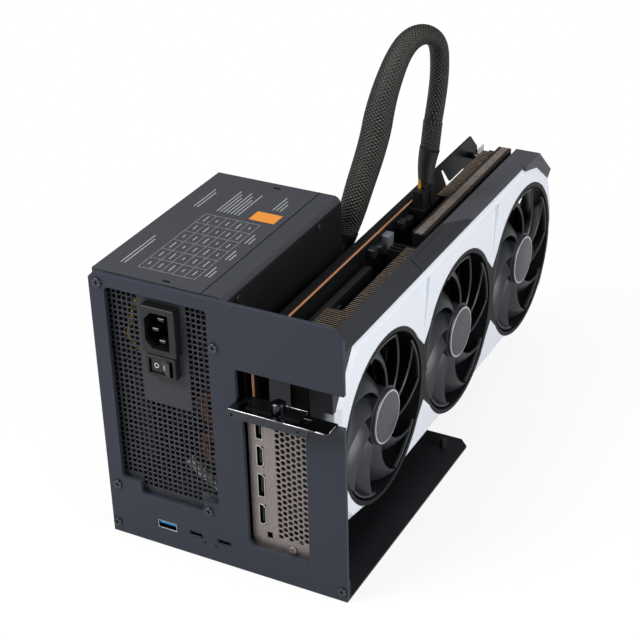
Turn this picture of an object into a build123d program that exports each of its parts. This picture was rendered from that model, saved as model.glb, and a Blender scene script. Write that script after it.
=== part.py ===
from build123d import *
import math
import os

os.makedirs("parts", exist_ok=True)

# External graphics card dock: an upright front plate and a base plate carry a power supply on the left
# and a triple-fan graphics card on the right, with a sleeved cable between them.
# Positions are measured from the lower front left corner of the front plate: x to the right, y to the
# rear and z up, in millimetres. The origin of the model is the middle of the base plate's underside.

# Front plate and base plate
plate_w = 160.0
plate_h = 180.0
plate_t = 2.5
plate_chamfer_left = 3.5
plate_chamfer_right = 6.5
base_d = 180.0
base_t = 1.5
base_chamfer = 6.0
tab_w = 14.0
tab_h = 14.0
relief_w = 2.0
left = -plate_w / 2
front = -base_d / 2

# Clearances
slide_clear = 0.3
seat_clear = 0.1
thread_clear = 0.05
pin_fit = 0.05

# Windows in the front plate
psu_window_x = (10.0, 77.0)
psu_window_z = (42.0, 172.0)
psu_window_r = 3.0
tongue_x = (23.0, 66.7)
tongue_z = 34.0
card_window_x = (96.0, 136.0)
card_window_z = 20.0
card_window_r = 5.0
notch_x = 93.0
notch_z = (118.8, 139.5)
notch_r = 1.5

# Screws
frame_screw_x = (3.2, plate_w - 3.2)
frame_screw_z = 7.0
frame_screw_d = 2.5
frame_head_d = 5.2
frame_head_h = 1.2
psu_screw_d = 3.5
psu_head_d = 6.6
psu_head_h = 1.8
screw_reach = 5.0

# Power supply housing
psu_w = 86.0
psu_h = 150.0
psu_d = 140.0
psu_wall = 1.0
psu_z = plate_h - psu_h
boss_h = 2.0
boss_r = 5.0
psu_y = plate_t + boss_h
seam_x = 71.7
seam_lap = 8.0
cover_r = 5.0
case_screw_y = (14.5, 110.5)
case_screw_in = 7.5
psu_screws_at = ((6.0, 174.0), (80.0, 150.0), (6.0, 36.0), (70.0, 36.0))

# Square grille in the power supply's face
grille_pitch = 6.95
grille_hole = 6.0
grille_left = (18.3, 135.0, 3, 10)
grille_right = (67.0, 135.0, 2, 10)
grille_low = (42.65, 72.45, 10, 8)
grille_foot = (42.65, 41.175, 6, 1)

# Mains inlet and rocker switch
inlet_x = (33.9, 56.4)
inlet_z = (136.6, 167.0)
inlet_lip = 1.2
inlet_front = -1.5
inlet_back = 26.0
socket_in = 2.6
socket_w = 15.8
socket_h = 23.4
socket_chamfer = 4.8
socket_depth = 16.0
contact_gap = 14.0
contact_step = 4.0
contact_w = 4.0
contact_t = 2.0
switch_x = (34.9, 54.5)
switch_z = (121.0, 135.2)
switch_front = -0.5
switch_back = 10.0
switch_lip = 1.2
rocker_half = 7.0
rocker_h = 9.2
rocker_dish = 1.6
rocker_foot = 2.0
rocker_foot_half = 5.0
rocker_angle = 10.0
rocker_pin_r = 1.0
rocker_pin_reach = 0.7
rocker_y = 2.4
rocker_side_clear = 1.0

# Fan blades
blade_t = 1.3
blade_lean = (46, 56)
blade_sweep = 41
blade_camber = 1.8
blade_sections = 4
blade_root = 1.5
blade_over = 0.6
blade_inset = 0.4

# Power supply fan on the left side
psu_fan_size = 120.0
psu_fan_depth = 25.0
psu_fan_bore = 57.0
psu_fan_tip = 54.5
psu_fan_hub = 20.0
psu_fan_blades = 7
psu_fan_corner = 6.0
psu_first_blade = 20
psu_hub_in = (2.0, 4.0)
motor_plate_t = 2.5
shaft_end = 4.0
bore_end = 3.0
struts = 3
strut_w = 5.0
strut_over = 2.0
strut_angle = 30
guard_rings = (46.0, 30.0, 14.0)
guard_wire = 2.4
guard_bar = 4.0

# Power supply inside
psu_board_t = 1.6
psu_board_gap = 6.0
psu_board_margin = 6.0
psu_board_step = 2.0
board_post_r = 2.5
board_post_y = (32.0, 128.0)
board_post_in = 16.0
transformer_h = 34.0
transformer_y = (60.0, 94.0)
transformer_z = (88.0, 124.0)
transformer_chamfer = 3.0
coil_major = 9.0
coil_minor = 4.2
coil_sides = 8
coils_y = 24.5
coils_z = (92.0, 64.0)
sink_h = 38.0
sink_t = 3.0
sinks_y = (46.0, 104.0)
sink_z = (48.0, 164.0)
sink_fins_z = (60.0, 84.0, 108.0, 132.0, 152.0)
sink_fin_w = 18.0
sink_fin_reach = 8.0
sink_fin_t = 2.0
can_r = 11.0
can_h = 34.0
cans_at = ((75.0, 150.0), (75.0, 66.0), (126.0, 66.0))
lead_d = 2.2
lead_bend = 2.4
lead_start = (31.0, 172.0)
lead_out = 4.0
lead_route = (
    (25.0, 8.6, 163.0),
    (20.6, 9.4, 150.0),
    (16.5, 10.0, 137.5),
    (22.0, 10.5, 130.0),
    (29.5, 12.0, 128.0),
    (31.0, 20.0, 129.0),
    (33.0, 30.0, 134.0),
    (38.0, 34.0, 142.0),
    (44.0, 33.0, 148.0),
)

# Dock board
board_x = (4.0, 122.0)
board_y = (9.0, 150.0)
board_t = 1.6
board_top = 12.3
board_r = 2.0
standoff_r = 2.6
standoffs_at = ((10.0, 26.0), (116.0, 26.0), (10.0, 144.0), (116.0, 144.0))
usb_a_at = (39.3, 15.4)
usb_a_w = 13.1
usb_a_h = 5.7
usb_a_l = 17.5
usb_c_at = ((59.5, 15.8), (79.0, 15.8))
usb_c_w = 8.94
usb_c_h = 3.26
usb_c_l = 10.5
usb_wall = 0.35
usb_recess = 0.2
usb_back = 4.0
usb_round_off = 0.02
usb_seat = (1.0, 3.0)
usb_a_tongue_x = 11.2
usb_a_tongue_z = (0.2, 2.0)
usb_a_tongue_in = 0.8
usb_c_tongue = (6.6, 0.7)
usb_c_tongue_in = 1.2
lamp_holes_at = ((65.5, 11.4), (72.9, 11.4))
lamp_hole_d = 1.5
slot_y = (47.0, 142.0)
slot_w = 7.5
slot_h = 11.25
slot_chamfer = 0.6
power_socket_x = (22.0, 74.0)
power_socket_y = (132.0, 142.0)
power_socket_h = 12.5
power_socket_holes = (12, 2)
power_socket_pitch = (4.33, 4.8)
power_socket_hole = (3.2, 3.4)
power_socket_deep = 8.5
controller_x = (50.0, 82.0)
controller_y = (60.0, 92.0)
controller_base = 3.0
controller_h = 10.0
controller_fins = 6
controller_pitch = 5.2
controller_fin_t = 1.8
post_at = (146.5, 166.5)
post_r = 2.2
post_h = 7.2

# Card shelf and bracket
shelf_t = 1.2
shelf_front = -10.0
shelf_x = (93.3, 155.0)
lip_x = 143.0
lip_h = 4.5
lip_holes_x = (95.7, 137.0)
lip_hole_r = 1.1
shelf_r = 2.0
shelf_hole_x = (135.5, 140.5)
shelf_hole_y = (-4.7, -0.7)
bracket_clear = 0.6
bracket_t = 0.9
bracket_y = 4.6
bracket_low = 3.0
tongue_w = 10.2
bracket_shoulder = 16.0
tongue_taper = 2.0
bracket_hole_at = (107.8, 27.9)
bracket_hole = (3.6, 4.4)
flange_reach = 11.43
flange_slot_y = -1.4
flange_slot_w = 4.4
slot_pitch = 20.32
flange_slot_x = 100.3
vent_x = (113.4, 133.6)
vent_z = (27.0, 113.0)
vent_columns = 6
vent_pitch = 3.9
vent_r = 1.65
thumb_r = 4.0
thumb_h = 6.0
thumb_shank = 3.4
thumb_chamfer = 0.8
thumb_below = 3.0

# Video sockets, from the top down
video_x = 103.7
video_z = (102.0, 82.3, 62.2, 41.8)
wide_socket = (16.2, 4.8)
narrow_socket = (14.2, 4.6)
video_depth = 13.0
video_proud = 0.4
video_wall = 0.45
video_floor = 2.0
video_chamfer = 1.5
video_tongue = (1.2, 10.4)
video_tongue_in = 0.8

# Graphics card board and back
card_board_x = 99.3
card_board_t = 1.6
card_board_y = (7.0, 245.0)
card_board_z = (27.0, 149.0)
edge_y = (50.0, 139.0)
edge_z = 14.8
key_y = (61.5, 63.4)
back_x = 94.4
back_t = 1.2
back_y = (7.0, 338.0)
back_z = (30.0, 150.0)
back_chamfer = 12.0
back_rim = 3.3
back_gap = (
    (274.9, 144.7),
    (278.3, 144.7),
    (290.0, 131.0),
    (316.0, 131.0),
    (316.0, 126.5),
    (286.0, 126.5),
)
back_screws_y = (24.0, 130.0, 232.0)
back_screws_z = (40.0, 138.0)

# Cooler
cold_t = 1.5
cold_y = (98.0, 164.0)
cold_z = (36.0, 112.0)
chip_t = 2.0
chip_y = (118.0, 148.0)
chip_z = (60.0, 88.0)
spreader_t = 5.0
spreader_y = (50.0, 142.0)
spreader_z = (118.0, 138.0)
spreader_pad_t = 2.5
spreader_pad_y = (56.0, 96.0)
spreader_pad_z = (121.0, 135.0)
pipe_r = 3.0
pipes_z = (44.0, 64.0, 84.0, 104.0)
pipes_y = (26.0, 316.0)
fin_pitch = 4.2
fin_t = 1.2
fin_base_t = 1.5
fin_base_top = 127.0
fins_low = 30.0
front_fins_y = (12.0, 165.0)
front_fins_top = 145.0
front_step_y = (75.5, 155.0)
front_step_x = 121.5
front_step_z = 120.0
rear_fins_y = (176.0, 320.0)
rear_fins_top = 148.0
rear_step_y = 240.0
rear_step_x = 119.0
rear_ledge_top = 145.0
strip_w = 9.0
strip_t = 1.0

# Fans on the card
card_fan_y = 76.5
card_fan_pitch = 109.5
card_fan_z = 79.0
card_fans = 3
frame_back = 131.5
frame_plate_t = 1.5
rim_x = 148.0
ring_in = 51.5
ring_out = 54.2
shroud_bore = 54.5
fan_tip = 49.8
fan_hub = 18.6
fan_blades = 10
fan_x = (134.6, 147.2)
hub_front = 149.2
hub_disc_r = 17.4
first_blade = 27
link_start = -27
link_over = 3
link_w = 1.4
link_t = 1.6
hub_chamfer = 0.7
motor_r = 16.0
shaft_r = 2.0
waist_half = 9.6
waist_far = 30.0
waist_near = 20.0

# Shroud and trim
shroud_wall = 2.0
shroud_face = 3.0
shroud_top = 147.5
shroud_front = 17.0
shroud_front_low = 60.0
shroud_toe = ((30.0, 33.0), (20.0, 45.0))
shroud_corner = (38.0, 118.0)
shroud_tail = ((351.0, 106.0), (353.5, 80.0), (338.0, 38.0))
trim_foot = 117.0
lobe_drop = 55.8
side_low = 29.0
bevel_in = 4.0
bevel_back = 3.0
facet_depth = 2.4
facet_y = (-33.0, 8.0)
facet_drop = 5.0
trim_top = 149.2
trim_gap = 0.1
trim_x = (131.5, 146.4)
trim_front_y = 13.0
trim_lap = 0.4
trim_chamfer = 4.0
trim_bevel = (2.6, 1.2)
middle_inner_y = (144.0, 191.0)
middle_outer_y = (131.0, 209.0)
middle_raise = 0.6
panel_sink = 0.5
panel_margin = 3.0
rear_slope_y = (320.0, 344.0)
rear_slope_z = 126.0
lip_start = 296.0
lip_w = 9.0
lip_proud = 0.6

# Card power socket and plug
socket_at = (106.6, 222.0)
socket_size = (11.0, 23.0, 13.0)
plug_size = (8.6, 20.4, 15.0)
plug_sunk = 3.5
plug_r = 0.8
socket_sunk = 2.5
latch_t = 1.6
latch_w = 6.0
latch_in = 2.0

# Power cable
cable_d = 13.0
cable_route = (
    (74.5, 147.0, 132.0),
    (74.5, 153.0, 132.0),
    (75.0, 158.8, 134.9),
    (76.3, 163.1, 140.4),
    (79.0, 164.9, 149.0),
    (83.0, 166.0, 161.5),
    (86.0, 171.0, 177.5),
    (88.5, 176.0, 190.0),
    (91.0, 182.0, 206.0),
    (92.3, 186.5, 222.0),
    (94.5, 192.0, 236.5),
    (98.0, 200.6, 252.9),
    (102.0, 210.2, 261.5),
    (107.1, 222.5, 261.5),
    (111.0, 232.1, 252.9),
    (111.5, 233.3, 236.0),
    (110.8, 231.5, 218.0),
    (109.3, 228.3, 201.0),
)
bend_share = 0.45
sleeve_bends = 5
wires_top = 164.0
sleeve_tip_r = 5.4
wire_d = 2.4
wire_pitch = 3.4
grommet_r = 10.5
grommet_flange = 2.0


def place(x, y, z):
    """Turns a position measured from the plate's corner into the model's frame."""
    return (left + x, front + y, z)


def facing_front(y):
    """Sketch plane seen from the front: local x to the right, local y up."""
    return Plane(origin=place(0, y, 0), x_dir=(1, 0, 0), z_dir=(0, -1, 0))


def facing_right(x):
    """Sketch plane seen from the right: local x to the rear, local y up."""
    return Plane(origin=place(x, 0, 0), x_dir=(0, 1, 0), z_dir=(1, 0, 0))


def facing_up(z):
    """Sketch plane seen from above: local x to the right, local y to the rear."""
    return Plane(origin=place(0, 0, z), x_dir=(1, 0, 0), z_dir=(0, 0, 1))


def block(xs, ys, zs, mode=Mode.ADD):
    """Adds a rectangular block between pairs of positions to the open part."""
    middle = [sum(span) / 2 for span in (xs, ys, zs)]
    with Locations(place(*middle)):
        Box(xs[1] - xs[0], ys[1] - ys[0], zs[1] - zs[0], mode=mode)


def rod_front(x, z, ys, radius, mode=Mode.ADD):
    """Adds a round rod that runs from front to rear."""
    with Locations(Location(place(x, sum(ys) / 2, z), (90, 0, 0))):
        Cylinder(radius, ys[1] - ys[0], mode=mode)


def rod_side(y, z, xs, radius, mode=Mode.ADD):
    """Adds a round rod that runs from left to right."""
    with Locations(Location(place(sum(xs) / 2, y, z), (0, 90, 0))):
        Cylinder(radius, xs[1] - xs[0], mode=mode)


def rod_up(x, y, zs, radius, mode=Mode.ADD):
    """Adds an upright round rod."""
    with Locations(place(x, y, sum(zs) / 2)):
        Cylinder(radius, zs[1] - zs[0], mode=mode)


def middle(span):
    """Middle of a pair of positions."""
    return (span[0] + span[1]) / 2


def size(span):
    """Length of a pair of positions."""
    return span[1] - span[0]


# Front plate
with BuildPart() as front_plate:
    with BuildSketch(facing_front(0)):
        with Locations((plate_w / 2, plate_h / 2)):
            Rectangle(plate_w, plate_h)
        chamfer(vertices().group_by(Axis.Y)[-1].sort_by(Axis.X)[0], plate_chamfer_left)
        chamfer(vertices().group_by(Axis.Y)[-1].sort_by(Axis.X)[-1], plate_chamfer_right)
        with Locations((middle(psu_window_x), middle(psu_window_z))):
            RectangleRounded(size(psu_window_x), size(psu_window_z), psu_window_r, mode=Mode.SUBTRACT)
        with Locations((middle(tongue_x), middle((tongue_z, psu_window_z[1])))):
            RectangleRounded(
                size(tongue_x), psu_window_z[1] - tongue_z, psu_window_r, mode=Mode.SUBTRACT
            )
        for x, z in psu_screws_at:
            with Locations((x, z)):
                Circle(psu_screw_d / 2 + slide_clear, mode=Mode.SUBTRACT)
        for x in frame_screw_x:
            with Locations((x, frame_screw_z)):
                Circle(frame_screw_d / 2 + slide_clear, mode=Mode.SUBTRACT)
        with Locations(usb_a_at):
            Rectangle(usb_a_w + 2 * slide_clear, usb_a_h + 2 * slide_clear, mode=Mode.SUBTRACT)
        with Locations(*usb_c_at):
            RectangleRounded(
                usb_c_w + 2 * slide_clear,
                usb_c_h + 2 * slide_clear,
                usb_c_h / 2,
                mode=Mode.SUBTRACT,
            )
        with Locations(*lamp_holes_at):
            Circle(lamp_hole_d / 2, mode=Mode.SUBTRACT)
    extrude(amount=-plate_t)
    with BuildSketch(facing_front(0)):
        with BuildLine():
            FilletPolyline(
                (plate_w, notch_z[0]),
                (card_window_x[1], notch_z[0]),
                (card_window_x[1], card_window_z),
                (card_window_x[0], card_window_z),
                (card_window_x[0], notch_z[0]),
                (notch_x, notch_z[0]),
                (notch_x, notch_z[1]),
                (plate_w, notch_z[1]),
                radius=(seat_clear, notch_r, card_window_r, seat_clear, seat_clear, notch_r),
            )
            Line((plate_w, notch_z[1]), (plate_w, notch_z[0]))
        make_face()
    extrude(amount=-plate_t, mode=Mode.SUBTRACT)
front_plate.part.label = "front_plate"
export_step(front_plate.part, "parts/front_plate.step")

# Base plate: a sheet with a bent-up tab at each end of its front edge
with BuildPart() as base_plate:
    with BuildSketch(facing_up(0)):
        with Locations((plate_w / 2, middle((plate_t, base_d)))):
            Rectangle(plate_w, base_d - plate_t)
        chamfer(vertices().group_by(Axis.Y)[-1], base_chamfer)
        for x in (tab_w + relief_w / 2, plate_w - tab_w - relief_w / 2):
            with Locations((x, plate_t + base_t)):
                SlotCenterToCenter(2 * base_t, relief_w, rotation=90, mode=Mode.SUBTRACT)
    extrude(amount=base_t)
    for xs in ((0, tab_w), (plate_w - tab_w, plate_w)):
        block(xs, (plate_t, plate_t + base_t), (base_t, tab_h))
    for x in frame_screw_x:
        rod_front(
            x, frame_screw_z, (plate_t, plate_t + base_t), frame_screw_d / 2 + thread_clear, Mode.SUBTRACT
        )
base_plate.part.label = "base_plate"
export_step(base_plate.part, "parts/base_plate.step")

with BuildPart() as frame_screws:
    for x in frame_screw_x:
        rod_front(x, frame_screw_z, (-frame_head_h, 0), frame_head_d / 2)
        rod_front(x, frame_screw_z, (0, screw_reach), frame_screw_d / 2)
    fillet(edges().filter_by(GeomType.CIRCLE).group_by(Axis.Y)[0], frame_head_h / 2)
frame_screws.part.label = "frame_screws"
export_step(frame_screws.part, "parts/frame_screws.step")

with BuildPart() as psu_screws:
    for x, z in psu_screws_at:
        rod_front(x, z, (-psu_head_h, 0), psu_head_d / 2)
        rod_front(x, z, (0, psu_y + screw_reach), psu_screw_d / 2)
    fillet(edges().filter_by(GeomType.CIRCLE).group_by(Axis.Y)[0], psu_head_h / 2)
psu_screws.part.label = "psu_screws"
export_step(psu_screws.part, "parts/psu_screws.step")

# Upright post on the base plate, near its right rear corner
with BuildPart() as base_post:
    rod_up(*post_at, (base_t, base_t + post_h), post_r)
    fillet(edges().group_by(Axis.Z)[-1], post_r / 4)
base_post.part.label = "base_post"
export_step(base_post.part, "parts/base_post.step")

# Power supply tray: face, left side, rear, top and bottom in one folded sheet, open to the right
psu_back = psu_y + psu_d
psu_top = psu_z + psu_h
inner_x = psu_w - psu_wall - seat_clear
inner_z = (psu_z + psu_wall + seat_clear, psu_top - psu_wall - seat_clear)
fan_at = (psu_y + psu_d / 2, psu_z + psu_h / 2)
exit_at = (cable_route[0][0], cable_route[0][2])
with BuildPart() as psu_tray:
    block((0, seam_x), (psu_y, psu_back), (psu_z, psu_top))
    block(
        (psu_wall, seam_x + seam_lap),
        (psu_y + psu_wall, psu_back - psu_wall),
        (psu_z + psu_wall, psu_top - psu_wall),
        Mode.SUBTRACT,
    )
    for ys in ((psu_y, psu_y + psu_wall), (psu_back - psu_wall, psu_back)):
        with BuildSketch(facing_front(ys[0])):
            with Locations((middle((seam_x - psu_wall, inner_x)), middle(inner_z))):
                Rectangle(inner_x - seam_x + psu_wall, size(inner_z))
            fillet(vertices().group_by(Axis.X)[-1], cover_r - psu_wall)
        extrude(amount=-psu_wall)
    for zs in ((inner_z[0], inner_z[0] + psu_wall), (inner_z[1] - psu_wall, inner_z[1])):
        block((seam_x - 2 * psu_wall, seam_x + seam_lap), (psu_y + psu_wall, psu_back - psu_wall), zs)
    for x, z in psu_screws_at:
        rod_front(x, z, (plate_t, psu_y), boss_r)
    block((-boss_r, 0), (0, psu_back), (psu_z, psu_top), Mode.SUBTRACT)
    block((0, psu_w), (0, psu_y), (psu_top, psu_top + boss_r), Mode.SUBTRACT)
    for x, z in psu_screws_at:
        rod_front(x, z, (plate_t, psu_y + psu_wall), psu_screw_d / 2 + thread_clear, Mode.SUBTRACT)
    for x, z, across, down in (grille_left, grille_right, grille_low, grille_foot):
        with BuildSketch(facing_front(psu_y)):
            with Locations((x, z)):
                with GridLocations(grille_pitch, grille_pitch, across, down):
                    Rectangle(grille_hole, grille_hole)
        extrude(amount=-psu_wall, mode=Mode.SUBTRACT)
    for xs, zs, lip in ((inlet_x, inlet_z, inlet_lip), (switch_x, switch_z, switch_lip)):
        block(
            (xs[0] + lip, xs[1] - lip),
            (psu_y, psu_y + psu_wall),
            (zs[0] + lip, zs[1] - lip),
            Mode.SUBTRACT,
        )
    with BuildSketch(facing_right(0)):
        with Locations(fan_at):
            Circle(psu_fan_bore)
            for ring in guard_rings:
                Circle(ring + guard_wire / 2, mode=Mode.SUBTRACT)
                Circle(ring - guard_wire / 2)
            Rectangle(guard_bar, 2 * psu_fan_bore, mode=Mode.SUBTRACT)
            Rectangle(2 * psu_fan_bore, guard_bar, mode=Mode.SUBTRACT)
            Circle(guard_rings[-1], mode=Mode.SUBTRACT)
    extrude(amount=psu_wall, mode=Mode.SUBTRACT)
    rod_front(*exit_at, (psu_back - psu_wall, psu_back), cable_d / 2 + grommet_flange, Mode.SUBTRACT)
psu_tray.part.label = "psu_tray"
export_step(psu_tray.part, "parts/psu_tray.step")

# Power supply cover: the right side with rounded edges, two short flanges and posts for the board inside
case_screw_z = (psu_z + case_screw_in, psu_top - case_screw_in)
case_screws_at = [(psu_y + y, z) for y in case_screw_y for z in case_screw_z]
psu_board_x = (psu_w - psu_wall - psu_board_gap - psu_board_t, psu_w - psu_wall - psu_board_gap)
board_post_z = (psu_z + board_post_in, psu_top - board_post_in)
board_posts_at = [(psu_y + y, z) for y in board_post_y for z in board_post_z]
with BuildPart() as psu_cover:
    with BuildSketch(facing_front(psu_y)):
        with Locations((middle((seam_x + slide_clear, psu_w)), middle((psu_z, psu_top)))):
            Rectangle(psu_w - seam_x - slide_clear, psu_h)
        fillet(vertices().group_by(Axis.X)[-1], cover_r)
    extrude(amount=-psu_d)
    with BuildSketch(facing_front(psu_y)):
        with Locations((middle((seam_x, psu_w - psu_wall)), middle((psu_z, psu_top)))):
            Rectangle(psu_w - psu_wall - seam_x, psu_h - 2 * psu_wall)
        fillet(vertices().group_by(Axis.X)[-1], cover_r - psu_wall)
    extrude(amount=-psu_d, mode=Mode.SUBTRACT)
    for y, z in case_screws_at:
        rod_side(y, z, (psu_w - psu_wall, psu_w), frame_screw_d / 2 + thread_clear, Mode.SUBTRACT)
    for y, z in board_posts_at:
        rod_side(y, z, (psu_board_x[1], psu_w - psu_wall), board_post_r)
psu_cover.part.label = "psu_cover"
export_step(psu_cover.part, "parts/psu_cover.step")

with BuildPart() as psu_case_screws:
    for y, z in case_screws_at:
        rod_side(y, z, (psu_w, psu_w + frame_head_h), frame_head_d / 2)
        rod_side(y, z, (psu_w - screw_reach, psu_w), frame_screw_d / 2)
psu_case_screws.part.label = "psu_case_screws"
export_step(psu_case_screws.part, "parts/psu_case_screws.step")

# Mains inlet: a bezel on the face, a body behind it and a recess with three contacts
socket_mid = (middle((inlet_x[0] + socket_in, inlet_x[0] + socket_in + socket_w)), middle(inlet_z))
with BuildPart() as mains_inlet:
    with BuildSketch(facing_front(psu_y)):
        with Locations((middle(inlet_x), middle(inlet_z))):
            RectangleRounded(size(inlet_x), size(inlet_z), inlet_lip)
    extrude(amount=psu_y - inlet_front)
    fillet(faces().sort_by(Axis.Y)[0].edges(), inlet_lip / 2)
    block(
        (inlet_x[0] + inlet_lip + seat_clear, inlet_x[1] - inlet_lip - seat_clear),
        (psu_y, inlet_back),
        (inlet_z[0] + inlet_lip + seat_clear, inlet_z[1] - inlet_lip - seat_clear),
    )
    with BuildSketch(facing_front(inlet_front)):
        with Locations(socket_mid):
            Rectangle(socket_w, socket_h)
        chamfer(vertices().group_by(Axis.X)[0], socket_chamfer)
    extrude(amount=-socket_depth, mode=Mode.SUBTRACT)
mains_inlet.part.label = "mains_inlet"
export_step(mains_inlet.part, "parts/mains_inlet.step")

contacts_at = (
    (socket_mid[0] - contact_step / 2, socket_mid[1]),
    (socket_mid[0] + contact_step / 2, socket_mid[1] + contact_gap / 2),
    (socket_mid[0] + contact_step / 2, socket_mid[1] - contact_gap / 2),
)
with BuildPart() as inlet_pins:
    for x, z in contacts_at:
        block(
            (x - contact_w / 2, x + contact_w / 2),
            (inlet_front + contact_t, inlet_front + socket_depth),
            (z - contact_t / 2, z + contact_t / 2),
        )
    chamfer(faces().group_by(Axis.Y)[0].edges(), contact_t / 5)
inlet_pins.part.label = "inlet_pins"
export_step(inlet_pins.part, "parts/inlet_pins.step")

# Switch frame and its rocker, which tips about an upright axis
rocker_at = (middle(switch_x), middle(switch_z))
rocker_edge = rocker_half * math.tan(math.radians(rocker_angle))
rocker_pin_half = rocker_h / 2 + rocker_pin_reach
pin_hole_half = rocker_pin_half + rocker_pin_reach
mouth_half = rocker_half * math.cos(math.radians(rocker_angle)) + rocker_side_clear
with BuildPart() as switch_frame:
    with BuildSketch(facing_front(psu_y)):
        with Locations(rocker_at):
            RectangleRounded(size(switch_x), size(switch_z), switch_lip)
    extrude(amount=psu_y - switch_front)
    fillet(faces().sort_by(Axis.Y)[0].edges(), switch_lip / 2)
    block(
        (switch_x[0] + switch_lip + seat_clear, switch_x[1] - switch_lip - seat_clear),
        (psu_y, switch_back),
        (switch_z[0] + switch_lip + seat_clear, switch_z[1] - switch_lip - seat_clear),
    )
    block(
        (rocker_at[0] - mouth_half, rocker_at[0] + mouth_half),
        (switch_front, switch_back - switch_lip),
        (rocker_at[1] - rocker_h / 2 - slide_clear, rocker_at[1] + rocker_h / 2 + slide_clear),
        Mode.SUBTRACT,
    )
    rod_up(
        rocker_at[0],
        rocker_y,
        (rocker_at[1] - pin_hole_half, rocker_at[1] + pin_hole_half),
        rocker_pin_r + pin_fit,
        Mode.SUBTRACT,
    )
switch_frame.part.label = "switch_frame"
export_step(switch_frame.part, "parts/switch_frame.step")

rocker_turn = Plane(
    origin=place(rocker_at[0], rocker_y, rocker_at[1] - rocker_h / 2),
    x_dir=(math.cos(math.radians(rocker_angle)), -math.sin(math.radians(rocker_angle)), 0),
    z_dir=(0, 0, 1),
)
with BuildPart() as rocker:
    with BuildSketch(rocker_turn):
        with BuildLine():
            Polyline(
                (-rocker_half, -rocker_dish - rocker_edge),
                (0, -rocker_dish),
                (rocker_half, -rocker_dish - rocker_edge),
                (rocker_foot_half, rocker_foot),
                (-rocker_foot_half, rocker_foot),
                close=True,
            )
        make_face()
    extrude(amount=rocker_h)
    rod_up(
        rocker_at[0],
        rocker_y,
        (rocker_at[1] - rocker_pin_half, rocker_at[1] + rocker_pin_half),
        rocker_pin_r,
    )
rocker.part.label = "rocker"
export_step(rocker.part, "parts/rocker.step")


def fan_blade(at, xs, hub_r, tip_r, first):
    """One swept and cambered blade that leans over as it reaches outward, with its tip trimmed round."""
    depth = size(xs)
    root = hub_r - blade_root
    skin = blade_t / 2
    with BuildPart() as blade:
        for step in range(blade_sections):
            share = step / (blade_sections - 1)
            reach = root + share * (tip_r + blade_over - root)
            angle = math.radians(first - blade_sweep * (1 - share))
            slope = math.radians(blade_lean[0] + share * (blade_lean[1] - blade_lean[0]))
            half = (depth / 2 - blade_inset) / math.cos(slope)
            outward = (0, math.cos(angle), math.sin(angle))
            along = (math.cos(slope), -math.sin(slope) * math.sin(angle), math.sin(slope) * math.cos(angle))
            spot = place(middle(xs), at[0] + reach * outward[1], at[1] + reach * outward[2])
            with BuildSketch(Plane(origin=spot, x_dir=along, z_dir=outward)):
                with BuildLine():
                    upper = ThreePointArc((-half, skin), (0, blade_camber + skin), (half, skin))
                    lower = ThreePointArc((-half, -skin), (0, blade_camber - skin), (half, -skin))
                    Line(upper @ 0, lower @ 0)
                    Line(upper @ 1, lower @ 1)
                make_face()
        loft()
        with BuildSketch(facing_right(xs[0])):
            with Locations(at):
                Circle(tip_r)
        extrude(amount=depth, mode=Mode.INTERSECT)
    return blade.part


def fan_rotor(at, xs, hub_r, tip_r, blades, first):
    """Fan rotor that turns about a left-to-right axis: a solid hub with equal blades around it."""
    blade = fan_blade(at, xs, hub_r, tip_r, first)
    shaft = Axis(place(xs[0], *at), (1, 0, 0))
    with BuildPart() as rotor:
        rod_side(*at, xs, hub_r)
        add([blade.rotate(shaft, number * 360 / blades) for number in range(blades)])
    return rotor


# Power supply fan: a square frame with a motor plate on three struts, and its rotor
psu_fan_x = (psu_wall + seat_clear, psu_wall + seat_clear + psu_fan_depth)
psu_hub_x = (psu_fan_x[0] + psu_hub_in[0], psu_fan_x[1] - psu_hub_in[1])
with BuildPart() as psu_fan_frame:
    with BuildSketch(facing_right(psu_fan_x[0])):
        with Locations(fan_at):
            RectangleRounded(psu_fan_size, psu_fan_size, psu_fan_corner)
            Circle(psu_fan_bore, mode=Mode.SUBTRACT)
    extrude(amount=psu_fan_depth)
    with BuildSketch(facing_right(psu_fan_x[1])):
        with Locations(fan_at):
            Circle(psu_fan_hub)
            with PolarLocations(psu_fan_bore / 2, struts):
                Rectangle(psu_fan_bore + strut_over, strut_w)
    extrude(amount=-motor_plate_t)
    rod_side(*fan_at, (psu_hub_x[0] + shaft_end, psu_fan_x[1] - motor_plate_t / 2), shaft_r)
psu_fan_frame.part.label = "psu_fan_frame"
export_step(psu_fan_frame.part, "parts/psu_fan_frame.step")

psu_rotor = fan_rotor(fan_at, psu_hub_x, psu_fan_hub, psu_fan_tip, psu_fan_blades, psu_first_blade)
with BuildPart() as psu_fan:
    add(psu_rotor.part)
    rod_side(*fan_at, (psu_hub_x[0] + bore_end, psu_hub_x[1]), shaft_r + pin_fit, Mode.SUBTRACT)
psu_fan.part.label = "psu_fan"
export_step(psu_fan.part, "parts/psu_fan.step")

# Inside the power supply: a board along the right side, with its parts standing to the left
with BuildPart() as psu_board:
    block(
        psu_board_x,
        (inlet_back + psu_board_step, psu_back - psu_board_margin),
        (psu_z + psu_board_margin, psu_top - psu_board_margin),
    )
    block(
        psu_board_x,
        (psu_y + psu_board_margin, inlet_back + psu_board_step),
        (psu_z + psu_board_margin, inlet_z[0] - psu_board_margin),
    )
psu_board.part.label = "psu_board"
export_step(psu_board.part, "parts/psu_board.step")

with BuildPart() as psu_transformer:
    block((psu_board_x[0] - transformer_h, psu_board_x[0]), transformer_y, transformer_z)
    chamfer(edges().filter_by(Axis.X), transformer_chamfer)
psu_transformer.part.label = "psu_transformer"
export_step(psu_transformer.part, "parts/psu_transformer.step")

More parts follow.
